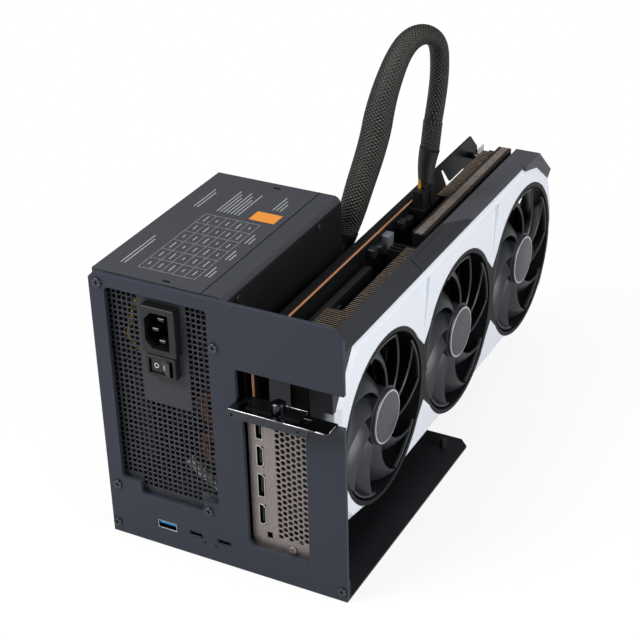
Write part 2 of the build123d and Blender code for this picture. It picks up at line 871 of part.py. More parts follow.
with BuildPart() as psu_coils:
    for z in coils_z:
        spot = place(psu_board_x[0] - coil_major - coil_minor, coils_y, z)
        with BuildSketch(Plane(spot, x_dir=(1, 0, 0), z_dir=(0, 0, 1))):
            with Locations((coil_major, 0)):
                RegularPolygon(coil_minor, coil_sides)
        revolve(axis=Axis(spot, (0, 1, 0)))
psu_coils.part.label = "psu_coils"
export_step(psu_coils.part, "parts/psu_coils.step")

with BuildPart() as psu_heatsinks:
    sink_x = (psu_board_x[0] - sink_h, psu_board_x[0])
    for y in sinks_y:
        block(sink_x, (y, y + sink_t), sink_z)
        for z in sink_fins_z:
            block(
                (sink_x[0], sink_x[0] + sink_fin_w),
                (y + sink_t, y + sink_t + sink_fin_reach),
                (z, z + sink_fin_t),
            )
psu_heatsinks.part.label = "psu_heatsinks"
export_step(psu_heatsinks.part, "parts/psu_heatsinks.step")

with BuildPart() as psu_capacitors:
    for y, z in cans_at:
        rod_side(y, z, (psu_board_x[0] - can_h, psu_board_x[0]), can_r)
psu_capacitors.part.label = "psu_capacitors"
export_step(psu_capacitors.part, "parts/psu_capacitors.step")

# Earth lead from the tray to the back of the inlet
tray_back = psu_y + psu_wall
with BuildPart() as earth_lead:
    with BuildLine() as lead_line:
        FilletPolyline(
            place(lead_start[0], tray_back, lead_start[1]),
            place(lead_start[0], tray_back + lead_out, lead_start[1]),
            *[place(*point) for point in lead_route],
            place(lead_route[-1][0], inlet_back, lead_route[-1][2]),
            radius=lead_bend,
        )
    with BuildSketch(Plane(lead_line.line @ 0, z_dir=lead_line.line % 0)):
        Circle(lead_d / 2)
    sweep()
earth_lead.part.label = "earth_lead"
export_step(earth_lead.part, "parts/earth_lead.step")

# Rubber bush around the cable in the power supply's rear wall
with BuildPart() as cable_grommet:
    rod_front(*exit_at, (psu_back, cable_route[0][1]), grommet_r)
    fillet(edges().group_by(Axis.Y)[-1], grommet_flange)
    neck_r = cable_d / 2 + grommet_flange - seat_clear
    rod_front(*exit_at, (psu_back - psu_wall - grommet_flange, psu_back), neck_r)
cable_grommet.part.label = "cable_grommet"
export_step(cable_grommet.part, "parts/cable_grommet.step")

# Dock board on four standoffs, with its sockets
board_z = (board_top - board_t, board_top)
with BuildPart() as dock_board:
    block(board_x, board_y, board_z)
    fillet(edges().filter_by(Axis.Z), board_r)
    for x, y in standoffs_at:
        rod_up(x, y, board_z, frame_screw_d / 2 + thread_clear, Mode.SUBTRACT)
dock_board.part.label = "dock_board"
export_step(dock_board.part, "parts/dock_board.step")

with BuildPart() as board_standoffs:
    for x, y in standoffs_at:
        with BuildSketch(facing_up(base_t)):
            with Locations((x, y)):
                RegularPolygon(standoff_r, 6)
                Circle(frame_screw_d / 2 + thread_clear, mode=Mode.SUBTRACT)
        extrude(amount=board_z[0] - base_t)
board_standoffs.part.label = "board_standoffs"
export_step(board_standoffs.part, "parts/board_standoffs.step")

with BuildPart() as board_screws:
    for x, y in standoffs_at:
        rod_up(x, y, (board_top, board_top + frame_head_h), frame_head_d / 2)
        rod_up(x, y, (board_top - screw_reach, board_top), frame_screw_d / 2)
board_screws.part.label = "board_screws"
export_step(board_screws.part, "parts/board_screws.step")

with BuildPart() as usb_a_port:
    with BuildSketch(facing_front(usb_recess)):
        with Locations(usb_a_at):
            Rectangle(usb_a_w, usb_a_h)
    extrude(amount=-usb_a_l)
    with BuildSketch(facing_front(usb_recess)):
        with Locations(usb_a_at):
            Rectangle(usb_a_w - 2 * usb_wall, usb_a_h - 2 * usb_wall)
    extrude(amount=-usb_a_l + usb_back, mode=Mode.SUBTRACT)
    block(
        (usb_a_at[0] - usb_a_w / 2, usb_a_at[0] + usb_a_w / 2),
        (board_y[0] + usb_seat[0], usb_recess + usb_a_l),
        (board_top, usb_a_at[1] - usb_a_h / 2),
    )
usb_a_port.part.label = "usb_a_port"
export_step(usb_a_port.part, "parts/usb_a_port.step")

with BuildPart() as usb_c_ports:
    for at in usb_c_at:
        with BuildSketch(facing_front(usb_recess)):
            with Locations(at):
                RectangleRounded(usb_c_w, usb_c_h, usb_c_h / 2 - usb_round_off)
        extrude(amount=-usb_c_l - board_y[0])
        with BuildSketch(facing_front(usb_recess)):
            with Locations(at):
                RectangleRounded(
                    usb_c_w - 2 * usb_wall,
                    usb_c_h - 2 * usb_wall,
                    usb_c_h / 2 - usb_wall - usb_round_off,
                )
        extrude(amount=-usb_c_l, mode=Mode.SUBTRACT)
        block(
            (at[0] - usb_c_w / 4, at[0] + usb_c_w / 4),
            (board_y[0] + usb_seat[1], usb_recess + usb_c_l + board_y[0]),
            (board_top, at[1] - usb_c_h / 2 + usb_wall),
        )
usb_c_ports.part.label = "usb_c_ports"
export_step(usb_c_ports.part, "parts/usb_c_ports.step")

with BuildPart() as usb_tongues:
    block(
        (usb_a_at[0] - usb_a_tongue_x / 2, usb_a_at[0] + usb_a_tongue_x / 2),
        (usb_recess + usb_a_tongue_in, usb_recess + usb_a_l - usb_back),
        (usb_a_at[1] + usb_a_tongue_z[0], usb_a_at[1] + usb_a_tongue_z[1]),
    )
    for x, z in usb_c_at:
        block(
            (x - usb_c_tongue[0] / 2, x + usb_c_tongue[0] / 2),
            (usb_recess + usb_c_tongue_in, usb_recess + usb_c_l),
            (z - usb_c_tongue[1] / 2, z + usb_c_tongue[1] / 2),
        )
usb_tongues.part.label = "usb_tongues"
export_step(usb_tongues.part, "parts/usb_tongues.step")

card_mid_x = card_board_x + card_board_t / 2
with BuildPart() as pcie_slot:
    block((card_mid_x - slot_w / 2, card_mid_x + slot_w / 2), slot_y, (board_top, board_top + slot_h))
    chamfer(edges().group_by(Axis.Z)[-1], slot_chamfer)
    for start, end in ((edge_y[0], key_y[0]), (key_y[1], edge_y[1])):
        block(
            (card_board_x - seat_clear, card_board_x + card_board_t + seat_clear),
            (start - slide_clear, end + slide_clear),
            (edge_z - slide_clear, board_top + slot_h),
            Mode.SUBTRACT,
        )
pcie_slot.part.label = "pcie_slot"
export_step(pcie_slot.part, "parts/pcie_slot.step")

with BuildPart() as board_power_socket:
    block(power_socket_x, power_socket_y, (board_top, board_top + power_socket_h))
    hole_middle = board_top + power_socket_h - power_socket_deep / 2
    with Locations(place(middle(power_socket_x), middle(power_socket_y), hole_middle)):
        with GridLocations(*power_socket_pitch, *power_socket_holes):
            Box(*power_socket_hole, power_socket_deep, mode=Mode.SUBTRACT)
board_power_socket.part.label = "board_power_socket"
export_step(board_power_socket.part, "parts/board_power_socket.step")

with BuildPart() as controller_heatsink:
    block(controller_x, controller_y, (board_top, board_top + controller_base))
    fin_middle = board_top + middle((controller_base, controller_h))
    with Locations(place(middle(controller_x), middle(controller_y), fin_middle)):
        with GridLocations(controller_pitch, controller_pitch, controller_fins, 1):
            Box(controller_fin_t, size(controller_y), controller_h - controller_base)
controller_heatsink.part.label = "controller_heatsink"
export_step(controller_heatsink.part, "parts/controller_heatsink.step")

# Card shelf: a folded strip that rests on the front plate's notch and takes the bracket's flange
shelf_z = (notch_z[0], notch_z[0] + shelf_t)
thumb_at = (flange_slot_x + slot_pitch, flange_slot_y)
with BuildPart() as card_shelf:
    block(shelf_x, (shelf_front, plate_t), shelf_z)
    fillet(edges().filter_by(Axis.Z).group_by(Axis.Y)[0].group_by(Axis.X)[-1], shelf_r)
    block((shelf_x[0], lip_x), (shelf_front, shelf_front + shelf_t), (shelf_z[0] - lip_h, shelf_z[0]))
    for x in lip_holes_x:
        rod_front(x, shelf_z[0] - lip_h / 2, (shelf_front, shelf_front + shelf_t), lip_hole_r, Mode.SUBTRACT)
    rod_up(*thumb_at, shelf_z, thumb_shank / 2 + thread_clear, Mode.SUBTRACT)
    block(shelf_hole_x, shelf_hole_y, shelf_z, Mode.SUBTRACT)
card_shelf.part.label = "card_shelf"
export_step(card_shelf.part, "parts/card_shelf.step")

with BuildPart() as card_thumbscrew:
    rod_up(*thumb_at, (shelf_z[1] + bracket_t, shelf_z[1] + bracket_t + thumb_h), thumb_r)
    chamfer(edges().filter_by(GeomType.CIRCLE).group_by(Axis.Z)[-1], thumb_chamfer)
    rod_up(*thumb_at, (shelf_z[0] - thumb_below, shelf_z[1] + bracket_t), thumb_shank / 2)
card_thumbscrew.part.label = "card_thumbscrew"
export_step(card_thumbscrew.part, "parts/card_thumbscrew.step")

# Two-slot bracket with a flange on top, cut-outs for the video sockets and a field of vents
bracket_x = (card_window_x[0] + bracket_clear, card_window_x[1] - bracket_clear)
bracket_top = shelf_z[1] + bracket_t
vent_step = vent_pitch * math.sqrt(3) / 2
vent_rows = int(size(vent_z) / vent_pitch)
with BuildPart() as card_bracket:
    with BuildSketch(facing_front(bracket_y)):
        with BuildLine():
            Polyline(
                (bracket_x[0], bracket_top),
                (bracket_x[0], bracket_shoulder),
                (flange_slot_x - tongue_w / 2 + tongue_taper, bracket_low),
                (flange_slot_x + tongue_w / 2, bracket_low),
                (flange_slot_x + tongue_w / 2, bracket_shoulder),
                (bracket_x[1] - tongue_w, bracket_shoulder),
                (bracket_x[1] - tongue_w, bracket_low),
                (bracket_x[1] - tongue_taper, bracket_low),
                (bracket_x[1], bracket_shoulder),
                (bracket_x[1], bracket_top),
                close=True,
            )
        make_face()
        for column in range(vent_columns):
            with Locations((vent_x[0] + vent_r + column * vent_step, middle(vent_z))):
                with GridLocations(vent_step, vent_pitch, 1, vent_rows - column % 2):
                    RegularPolygon(vent_r, 6, mode=Mode.SUBTRACT)
        for number, z in enumerate(video_z):
            span = (wide_socket, narrow_socket)[number % 2]
            with Locations((video_x, z)):
                Rectangle(span[1] + 2 * seat_clear, span[0] + 2 * seat_clear, mode=Mode.SUBTRACT)
        with Locations(bracket_hole_at):
            Rectangle(*bracket_hole, mode=Mode.SUBTRACT)
    extrude(amount=-bracket_t)
    with BuildSketch(facing_up(shelf_z[1])):
        with Locations((middle(bracket_x), bracket_y + bracket_t - flange_reach / 2)):
            Rectangle(size(bracket_x), flange_reach)
        for x in (flange_slot_x, thumb_at[0]):
            with Locations((x, flange_slot_y)):
                Circle(flange_slot_w / 2, mode=Mode.SUBTRACT)
            with Locations((x, flange_slot_y - flange_reach / 2)):
                Rectangle(flange_slot_w, flange_reach, mode=Mode.SUBTRACT)
    extrude(amount=bracket_t)
card_bracket.part.label = "card_bracket"
export_step(card_bracket.part, "parts/card_bracket.step")


def video_shells(spots, span, tapered):
    """Sheet metal shells of upright video sockets, open at the front."""
    with BuildPart() as shells:
        for z in spots:
            for trim, floor, mode in ((0, 0, Mode.ADD), (video_wall, video_floor, Mode.SUBTRACT)):
                with BuildSketch(facing_front(bracket_y - video_proud)):
                    with Locations((video_x, z)):
                        Rectangle(span[1] - 2 * trim, span[0] - 2 * trim)
                    chamfer(vertices().group_by(Axis.X)[-1].sort_by(Axis.Y)[tapered:], video_chamfer)
                extrude(amount=floor - video_depth, mode=mode)
    return shells


video_sockets_wide = video_shells(video_z[0::2], wide_socket, 1)
video_sockets_wide.part.label = "video_sockets_wide"
export_step(video_sockets_wide.part, "parts/video_sockets_wide.step")

video_sockets_narrow = video_shells(video_z[1::2], narrow_socket, 0)
video_sockets_narrow.part.label = "video_sockets_narrow"
export_step(video_sockets_narrow.part, "parts/video_sockets_narrow.step")

video_back = bracket_y - video_proud + video_depth - video_floor
with BuildPart() as video_tongues:
    for z in video_z:
        block(
            (video_x - video_tongue[0] / 2, video_x + video_tongue[0] / 2),
            (bracket_y + video_tongue_in, video_back),
            (z - video_tongue[1] / 2, z + video_tongue[1] / 2),
        )
video_tongues.part.label = "video_tongues"
export_step(video_tongues.part, "parts/video_tongues.step")

# Graphics card board with its edge connector, standing in the slot
card_face = card_board_x + card_board_t
with BuildPart() as card_board:
    with BuildSketch(facing_right(card_board_x)):
        with Locations((middle(card_board_y), middle(card_board_z))):
            Rectangle(size(card_board_y), size(card_board_z))
        with Locations((middle(edge_y), middle((edge_z, card_board_z[0])))):
            Rectangle(size(edge_y), card_board_z[0] - edge_z)
        with Locations((middle(key_y), middle((edge_z, board_top + slot_h)))):
            Rectangle(size(key_y), board_top + slot_h - edge_z + 2 * slide_clear, mode=Mode.SUBTRACT)
    extrude(amount=card_board_t)
card_board.part.label = "card_board"
export_step(card_board.part, "parts/card_board.step")

# Backplate: a plate with cut rear corners, rims along its edges and a bent opening behind the board
back_screws_at = [(y, z) for y in back_screws_y for z in back_screws_z]
with BuildPart() as card_backplate:
    with BuildSketch(facing_right(back_x)):
        with Locations((middle(back_y), middle(back_z))):
            Rectangle(size(back_y), size(back_z))
        chamfer(vertices().group_by(Axis.X)[-1], back_chamfer)
        with BuildLine():
            Polyline(back_gap, close=True)
        make_face(mode=Mode.SUBTRACT)
    extrude(amount=back_t)
    for zs in ((back_z[0], back_z[0] + back_t), (back_z[1] - back_t, back_z[1])):
        block((back_x + back_t, back_x + back_t + back_rim), (back_y[0], card_board_y[1]), zs)
    for y, z in back_screws_at:
        rod_side(y, z, (back_x + back_t, card_board_x), boss_r / 2)
        rod_side(y, z, (back_x, card_board_x), frame_screw_d / 2 + thread_clear, Mode.SUBTRACT)
card_backplate.part.label = "card_backplate"
export_step(card_backplate.part, "parts/card_backplate.step")

with BuildPart() as backplate_screws:
    for y, z in back_screws_at:
        rod_side(y, z, (back_x - frame_head_h, back_x), frame_head_d / 2)
        rod_side(y, z, (back_x, card_board_x), frame_screw_d / 2)
backplate_screws.part.label = "backplate_screws"
export_step(backplate_screws.part, "parts/backplate_screws.step")

# Cooler: chip, cold plate, heat pipes and two stacks of fins
cold_x = (card_face + chip_t, card_face + chip_t + cold_t)
pipe_x = cold_x[1] + pipe_r
fin_base_x = (pipe_x + pipe_r, pipe_x + pipe_r + fin_base_t)
with BuildPart() as gpu_chip:
    block((card_face, cold_x[0]), chip_y, chip_z)
gpu_chip.part.label = "gpu_chip"
export_step(gpu_chip.part, "parts/gpu_chip.step")

with BuildPart() as cold_plate:
    block(cold_x, cold_y, cold_z)
cold_plate.part.label = "cold_plate"
export_step(cold_plate.part, "parts/cold_plate.step")

with BuildPart() as heat_pipes:
    for z in pipes_z:
        rod_front(pipe_x, z, pipes_y, pipe_r)
heat_pipes.part.label = "heat_pipes"
export_step(heat_pipes.part, "parts/heat_pipes.step")

with BuildPart() as board_spreader:
    spreader_x = (card_face + chip_t, card_face + chip_t + spreader_t)
    block((card_face, spreader_x[0]), spreader_y, spreader_pad_z)
    block(spreader_x, spreader_y, spreader_z)
    block((spreader_x[1], spreader_x[1] + spreader_pad_t), spreader_pad_y, spreader_pad_z)
board_spreader.part.label = "board_spreader"
export_step(board_spreader.part, "parts/board_spreader.step")


def fin_row(ys, xs, zs):
    """Adds fins across a row at the fin pitch, each a thin upright sheet."""
    count = int(size(ys) / fin_pitch)
    for number in range(count + 1):
        y = ys[0] + number * fin_pitch
        block(xs, (y, y + fin_t), zs)


fin_edge = frame_back - slide_clear
with BuildPart() as fins_front:
    block(fin_base_x, front_fins_y, (fins_low, fin_base_top))
    fin_row(front_fins_y, (fin_base_x[1], fin_edge), (fins_low, front_fins_top))
    block(
        (fin_base_x[1], front_step_x),
        front_step_y,
        (front_step_z, front_fins_top),
        Mode.SUBTRACT,
    )
fins_front.part.label = "fins_front"
export_step(fins_front.part, "parts/fins_front.step")

with BuildPart() as fins_rear:
    block(fin_base_x, rear_fins_y, (fins_low, fin_base_top))
    fin_row(rear_fins_y, (fin_base_x[1], fin_edge), (fins_low, rear_fins_top))
    block(
        (fin_base_x[1], rear_step_x),
        (rear_fins_y[0], rear_step_y),
        (fin_base_top, rear_fins_top),
        Mode.SUBTRACT,
    )
    block(
        (fin_base_x[1], rear_step_x),
        (rear_step_y, rear_fins_y[1]),
        (rear_ledge_top, rear_fins_top),
        Mode.SUBTRACT,
    )
    block((rear_step_x + strip_w, fin_edge), rear_fins_y, (rear_ledge_top, rear_fins_top), Mode.SUBTRACT)
fins_rear.part.label = "fins_rear"
export_step(fins_rear.part, "parts/fins_rear.step")

with BuildPart() as fin_strip:
    block((rear_step_x, rear_step_x + strip_w), rear_fins_y, (rear_fins_top, rear_fins_top + strip_t))
fin_strip.part.label = "fin_strip"
export_step(fin_strip.part, "parts/fin_strip.step")

# Shroud: a bevelled shell whose lower edge follows the fans, bored for them, drawn to points between them
fan_ys = [card_fan_y + number * card_fan_pitch for number in range(card_fans)]
waist_ys = [middle(fan_ys[0:2]), middle(fan_ys[1:3])]
lobe_half = math.sqrt(lobe_drop**2 - (card_fan_z - side_low) ** 2)
trim_z = (shroud_top + trim_gap, trim_top)
trim_t = size(trim_z)
slope_run = size(rear_slope_y)
slope_fall = shroud_top - rear_slope_z
slope_length = math.hypot(slope_run, slope_fall)


def slope_point(away):
    """Foot of the shroud's rear slope, moved square away from it."""
    return (
        rear_slope_y[1] + away * slope_fall / slope_length,
        rear_slope_z + away * slope_run / slope_length,
    )


def shroud_outline(x, inset):
    """Outline of the shroud seen from the right, drawn in by an inset."""
    with BuildSketch(facing_right(x)) as outline:
        with BuildLine():
            Polyline(
                (fan_ys[0] - lobe_half, side_low),
                *shroud_toe,
                (shroud_front, shroud_front_low),
                (shroud_front, shroud_corner[1]),
                (shroud_corner[0], shroud_top),
                (rear_slope_y[0], shroud_top),
                (rear_slope_y[1], rear_slope_z),
                shroud_tail[0],
            )
            ThreePointArc(*shroud_tail)
            Line(shroud_tail[-1], (fan_ys[2] + lobe_half, side_low))
            for y in fan_ys:
                ThreePointArc(
                    (y - lobe_half, side_low), (y, card_fan_z - lobe_drop), (y + lobe_half, side_low)
                )
            for y in fan_ys[:-1]:
                Line((y + lobe_half, side_low), (y + card_fan_pitch - lobe_half, side_low))
        make_face()
        if inset:
            offset(amount=-inset, kind=Kind.TANGENT)
    return outline.sketch


def waist(x, y, shrink):
    """Eight-cornered field between two fans, with a notch at its top and at its foot."""
    half = waist_half - shrink
    far = waist_far - shrink
    near = waist_near - shrink
    corners = [(half, far), (0, near), (-half, far), (-2 * half, 0)]
    corners += [(-half, -far), (0, -near), (half, -far), (2 * half, 0)]
    with BuildSketch(facing_right(x)) as field:
        with BuildLine():
            Polyline([(y + across, card_fan_z + up) for across, up in corners], close=True)
        make_face()
    return field.sketch


def facet(y):
    """Triangle on the face above two fans, where a slanted facet is cut."""
    with BuildSketch(facing_right(rim_x)) as triangle:
        with BuildLine():
            Polyline(
                (y + facet_y[0], shroud_top - facet_drop),
                (y + facet_y[1], shroud_top - facet_drop),
                (y, card_fan_z + waist_far),
                close=True,
            )
        make_face()
    return triangle.sketch


def rear_lip(x):
    """Band along the top rear corner of the face, where the rear trim folds over it."""
    with BuildSketch(facing_right(x)) as lip:
        with BuildLine():
            Polyline(
                (lip_start, trim_z[1]),
                (rear_slope_y[0] + trim_t / 2, trim_z[1]),
                slope_point(trim_gap + trim_t),
                (rear_slope_y[1] - lip_w / 2, rear_slope_z - lip_w / 3),
                (rear_slope_y[0] - lip_w / 3, shroud_top - lip_w + trim_t),
                (lip_start, shroud_top - trim_t),
                close=True,
            )
        make_face()
    return lip.sketch


with BuildPart() as shroud:
    extrude(shroud_outline(frame_back, 0), amount=rim_x - frame_back)
    chamfer(faces().sort_by(Axis.X)[-1].edges(), length=bevel_back, length2=bevel_in)
    hollow = shroud_outline(frame_back, shroud_wall)
    extrude(hollow, amount=rim_x - shroud_face - frame_back, mode=Mode.SUBTRACT)
    with BuildSketch(facing_right(frame_back)):
        with Locations(*[(y, card_fan_z) for y in fan_ys]):
            Circle(shroud_bore)
    extrude(amount=rim_x - frame_back, mode=Mode.SUBTRACT)
    for y in waist_ys:
        extrude(waist(frame_back, y, 0), amount=rim_x - frame_back, mode=Mode.SUBTRACT)
        deepest = Vertex(*place(rim_x - facet_depth, y + facet_y[1], shroud_top - facet_drop))
        loft([facet(y).face(), deepest], mode=Mode.SUBTRACT)
    extrude(rear_lip(rim_x - shroud_face), amount=shroud_face + lip_proud, mode=Mode.SUBTRACT)
shroud.part.label = "shroud"
export_step(shroud.part, "parts/shroud.step")

# Fan frame inside the shroud: a back plate, three rings, the fields between them, motor plates and shafts
plate_x = (frame_back, frame_back + frame_plate_t)
with BuildPart() as fan_frame:
    extrude(shroud_outline(frame_back, shroud_wall + slide_clear), amount=frame_plate_t)
    for y in waist_ys:
        extrude(waist(frame_back, y, slide_clear), amount=rim_x - slide_clear - frame_back)
    with BuildSketch(facing_right(frame_back)):
        with Locations(*[(y, card_fan_z) for y in fan_ys]):
            Circle(ring_out)
    extrude(amount=rim_x - slide_clear - frame_back)
    with BuildSketch(facing_right(frame_back)):
        with Locations(*[(y, card_fan_z) for y in fan_ys]):
            Circle(ring_in)
    extrude(amount=rim_x - frame_back, mode=Mode.SUBTRACT)
    for y in fan_ys:
        with BuildSketch(facing_right(frame_back)):
            with Locations((y, card_fan_z)):
                Circle(motor_r)
                with PolarLocations(ring_in / 2, struts, start_angle=strut_angle):
                    Rectangle(ring_in + strut_over, strut_w)
        extrude(amount=frame_plate_t)
        rod_side(y, card_fan_z, (plate_x[1], fan_x[1] - shaft_end), shaft_r)
fan_frame.part.label = "fan_frame"
export_step(fan_frame.part, "parts/fan_frame.step")


def trim_edge(top):
    """Wedge that is cut from the outer top edge of a trim piece, as seen from the front."""
    with BuildSketch(facing_front(0)) as wedge:
        with BuildLine():
            Polyline(
                (trim_x[1] - trim_bevel[0], top),
                (trim_x[1], top),
                (trim_x[1], top - trim_bevel[1]),
                close=True,
            )
        make_face()
    return wedge.sketch


# Three trim pieces along the top of the shroud, with slanted joints and bevelled outer edges
with BuildPart() as trim_front:
    with BuildSketch(facing_up(trim_z[0])):
        with BuildLine():
            Polyline(
                (trim_x[0], trim_front_y),
                (trim_x[1], trim_front_y),
                (trim_x[1], middle_outer_y[0] - trim_lap),
                (trim_x[0], middle_inner_y[0] - trim_lap),
                close=True,
            )
        make_face()
    extrude(amount=size(trim_z))
    with BuildSketch(facing_right(trim_x[0])):
        with BuildLine():
            Polyline(
                (trim_front_y, trim_foot),
                (shroud_front - trim_lap, trim_foot),
                (shroud_front - trim_lap, shroud_corner[1]),
                (shroud_corner[0] - trim_lap, shroud_top),
                (shroud_corner[0] - trim_lap, trim_z[0]),
                (trim_front_y, trim_z[0]),
                close=True,
            )
        make_face()
    extrude(amount=size(trim_x))
    chamfer(edges().filter_by(Axis.X).group_by(Axis.Y)[0].sort_by(Axis.Z)[-1], trim_chamfer)
    extrude(trim_edge(trim_z[1]), amount=-lip_start, mode=Mode.SUBTRACT)
trim_front.part.label = "trim_front"
export_step(trim_front.part, "parts/trim_front.step")

with BuildPart() as trim_middle:
    with BuildSketch(facing_up(trim_z[0])) as panel:
        with BuildLine():
            Polyline(
                (trim_x[0], middle_inner_y[0]),
                (trim_x[1], middle_outer_y[0]),
                (trim_x[1], middle_outer_y[1]),
                (trim_x[0], middle_inner_y[1]),
                close=True,
            )
        make_face()
    extrude(amount=size(trim_z) + middle_raise)
    with BuildSketch(facing_up(trim_z[1] + middle_raise - panel_sink)):
        add(panel.sketch_local)
        offset(amount=-panel_margin, kind=Kind.INTERSECTION, mode=Mode.REPLACE)
    extrude(amount=panel_sink, mode=Mode.SUBTRACT)
    extrude(trim_edge(trim_z[1] + middle_raise), amount=-lip_start, mode=Mode.SUBTRACT)
trim_middle.part.label = "trim_middle"
export_step(trim_middle.part, "parts/trim_middle.step")

with BuildPart() as trim_rear:
    with BuildSketch(facing_right(trim_x[0])):
        with BuildLine():
            Polyline(
                (middle_inner_y[1], trim_z[0]),
                (rear_slope_y[0] + trim_gap, trim_z[0]),
                slope_point(trim_gap),
                slope_point(trim_gap + trim_t),
                (rear_slope_y[0] + trim_t / 2, trim_z[1]),
                (middle_inner_y[1], trim_z[1]),
                close=True,
            )
        make_face()
    extrude(amount=size(trim_x))
    with BuildSketch(facing_up(trim_z[0])):
        with BuildLine():
            Polyline(
                (trim_x[0], middle_inner_y[1] + trim_lap),
                (trim_x[0], middle_inner_y[0]),
                (trim_x[1], middle_inner_y[0]),
                (trim_x[1], middle_outer_y[1] + trim_lap),
                close=True,
            )
        make_face()
    extrude(amount=size(trim_z), mode=Mode.SUBTRACT)
    extrude(trim_edge(trim_z[1]), amount=-lip_start, mode=Mode.SUBTRACT)
    extrude(rear_lip(rim_x - shroud_face), amount=shroud_face + lip_proud)
trim_rear.part.label = "trim_rear"
export_step(trim_rear.part, "parts/trim_rear.step")

# Three equal fans whose blades are joined in pairs by short rims
card_fan_at = (fan_ys[0], card_fan_z)
with BuildPart() as card_fan:
    add(fan_rotor(card_fan_at, fan_x, fan_hub, fan_tip, fan_blades, first_blade).part)
    for pair in range(fan_blades // 2):
        start = first_blade + link_start + pair * 720 / fan_blades
        with BuildSketch(facing_right(fan_x[1])):
            with BuildLine():
                outer = CenterArc(card_fan_at, fan_tip, start, 360 / fan_blades + link_over)
                inner = CenterArc(card_fan_at, fan_tip - link_w, start, 360 / fan_blades + link_over)
                Line(outer @ 0, inner @ 0)
                Line(outer @ 1, inner @ 1)
            make_face()
        extrude(amount=-link_t)
    rod_side(*card_fan_at, (fan_x[1], hub_front), hub_disc_r)
    chamfer(faces().sort_by(Axis.X)[-1].edges(), hub_chamfer)
    rod_side(*card_fan_at, (fan_x[0], fan_x[1] - bore_end), shaft_r + pin_fit, Mode.SUBTRACT)
for number, fan_y in enumerate(fan_ys):
    turned_fan = card_fan.part.moved(Location((0, fan_y - fan_ys[0], 0)))
    turned_fan.label = f"fan_{number + 1}"
    export_step(turned_fan, f"parts/fan_{number + 1}.step")

# Card power socket and the plug in it
socket_top = card_board_z[1] - socket_sunk
socket_x = (socket_at[0] - socket_size[0] / 2, socket_at[0] + socket_size[0] / 2)
socket_y = (socket_at[1] - socket_size[1] / 2, socket_at[1] + socket_size[1] / 2)
plug_x = (socket_at[0] - plug_size[0] / 2, socket_at[0] + plug_size[0] / 2)
plug_y = (socket_at[1] - plug_size[1] / 2, socket_at[1] + plug_size[1] / 2)
plug_z = (socket_top - plug_sunk, socket_top - plug_sunk + plug_size[2])
with BuildPart() as card_power_socket:
    block(socket_x, socket_y, (socket_top - socket_size[2], socket_top))
    block(
        (plug_x[0] - seat_clear, plug_x[1] + seat_clear),
        (plug_y[0] - seat_clear, plug_y[1] + seat_clear),
        (plug_z[0], socket_top),
        Mode.SUBTRACT,
    )
card_power_socket.part.label = "card_power_socket"
export_step(card_power_socket.part, "parts/card_power_socket.step")

with BuildPart() as power_plug:
    block(plug_x, plug_y, plug_z)
    fillet(edges().filter_by(Axis.Z), plug_r)
    block(
        (plug_x[1], plug_x[1] + latch_t),
        (socket_at[1] - latch_w / 2, socket_at[1] + latch_w / 2),
        (socket_top + latch_in, plug_z[1] - latch_in),
    )
power_plug.part.label = "power_plug"
export_step(power_plug.part, "parts/power_plug.step")

with BuildPart() as plug_wires:
    with Locations(place(*socket_at, middle((plug_z[1], wires_top)))):
        with GridLocations(wire_pitch, wire_pitch, 2, 3):
            Cylinder(wire_d / 2, wires_top - plug_z[1])
plug_wires.part.label = "plug_wires"
export_step(plug_wires.part, "parts/plug_wires.step")


def bend_radii(points):
    """Radius at each inner point of a route, from its turn and its shorter neighbouring run."""
    radii = []
    for before, at, after in zip(points, points[1:], points[2:]):
        into = Vector(*at) - Vector(*before)
        out = Vector(*after) - Vector(*at)
        half_turn = math.radians(into.get_angle(out)) / 2
        radii.append(bend_share * min(into.length, out.length) / math.tan(half_turn))
    return radii


def cable_run(points):
    """Round cable along straight runs joined by arcs that meet them smoothly."""
    radii = bend_radii(points)
    with BuildPart() as run:
        with BuildLine() as line:
            FilletPolyline(*points, radius=radii)
        with BuildSketch(Plane(line.line @ 0, z_dir=line.line % 0)):
            Circle(cable_d / 2)
        sweep()
    length = sum(edge.length for edge in line.edges())
    section = math.pi * cable_d**2 / 4
    print("bend radii", [round(radius, 1) for radius in radii])
    print("length", round(length, 1), "volume / section", round(run.part.volume / section, 1))
    return run


# Power cable: a sleeve at the power supply, the braided run and a tapered sleeve above the plug
route = [place(*point) for point in cable_route]
split = tuple(middle(pair) for pair in zip(route[sleeve_bends], route[sleeve_bends + 1]))
psu_sleeve = cable_run([*route[: sleeve_bends + 1], split])
psu_sleeve.part.label = "psu_sleeve"
export_step(psu_sleeve.part, "parts/psu_sleeve.step")

power_cable = cable_run([split, *route[sleeve_bends + 1 :]])
power_cable.part.label = "power_cable"
export_step(power_cable.part, "parts/power_cable.step")

with BuildPart() as plug_sleeve:
    with BuildSketch(Plane(route[-1], z_dir=Vector(*route[-1]) - Vector(*route[-2]))):
        Circle(cable_d / 2)
    with BuildSketch(Plane(place(*socket_at, wires_top), z_dir=(0, 0, -1))):
        Circle(sleeve_tip_r)
    loft()
plug_sleeve.part.label = "plug_sleeve"
export_step(plug_sleeve.part, "parts/plug_sleeve.step")
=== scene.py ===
"""Visual model of an open external graphics card dock.

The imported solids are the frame: they keep their shape and get their finishes here. Finer pieces that they
leave out, such as the grille's thin bars, the fin sheets and the braided cable, are modelled on top of them.
"""
import logging
import math
from dataclasses import dataclass, replace
from enum import Enum
from typing import Sequence

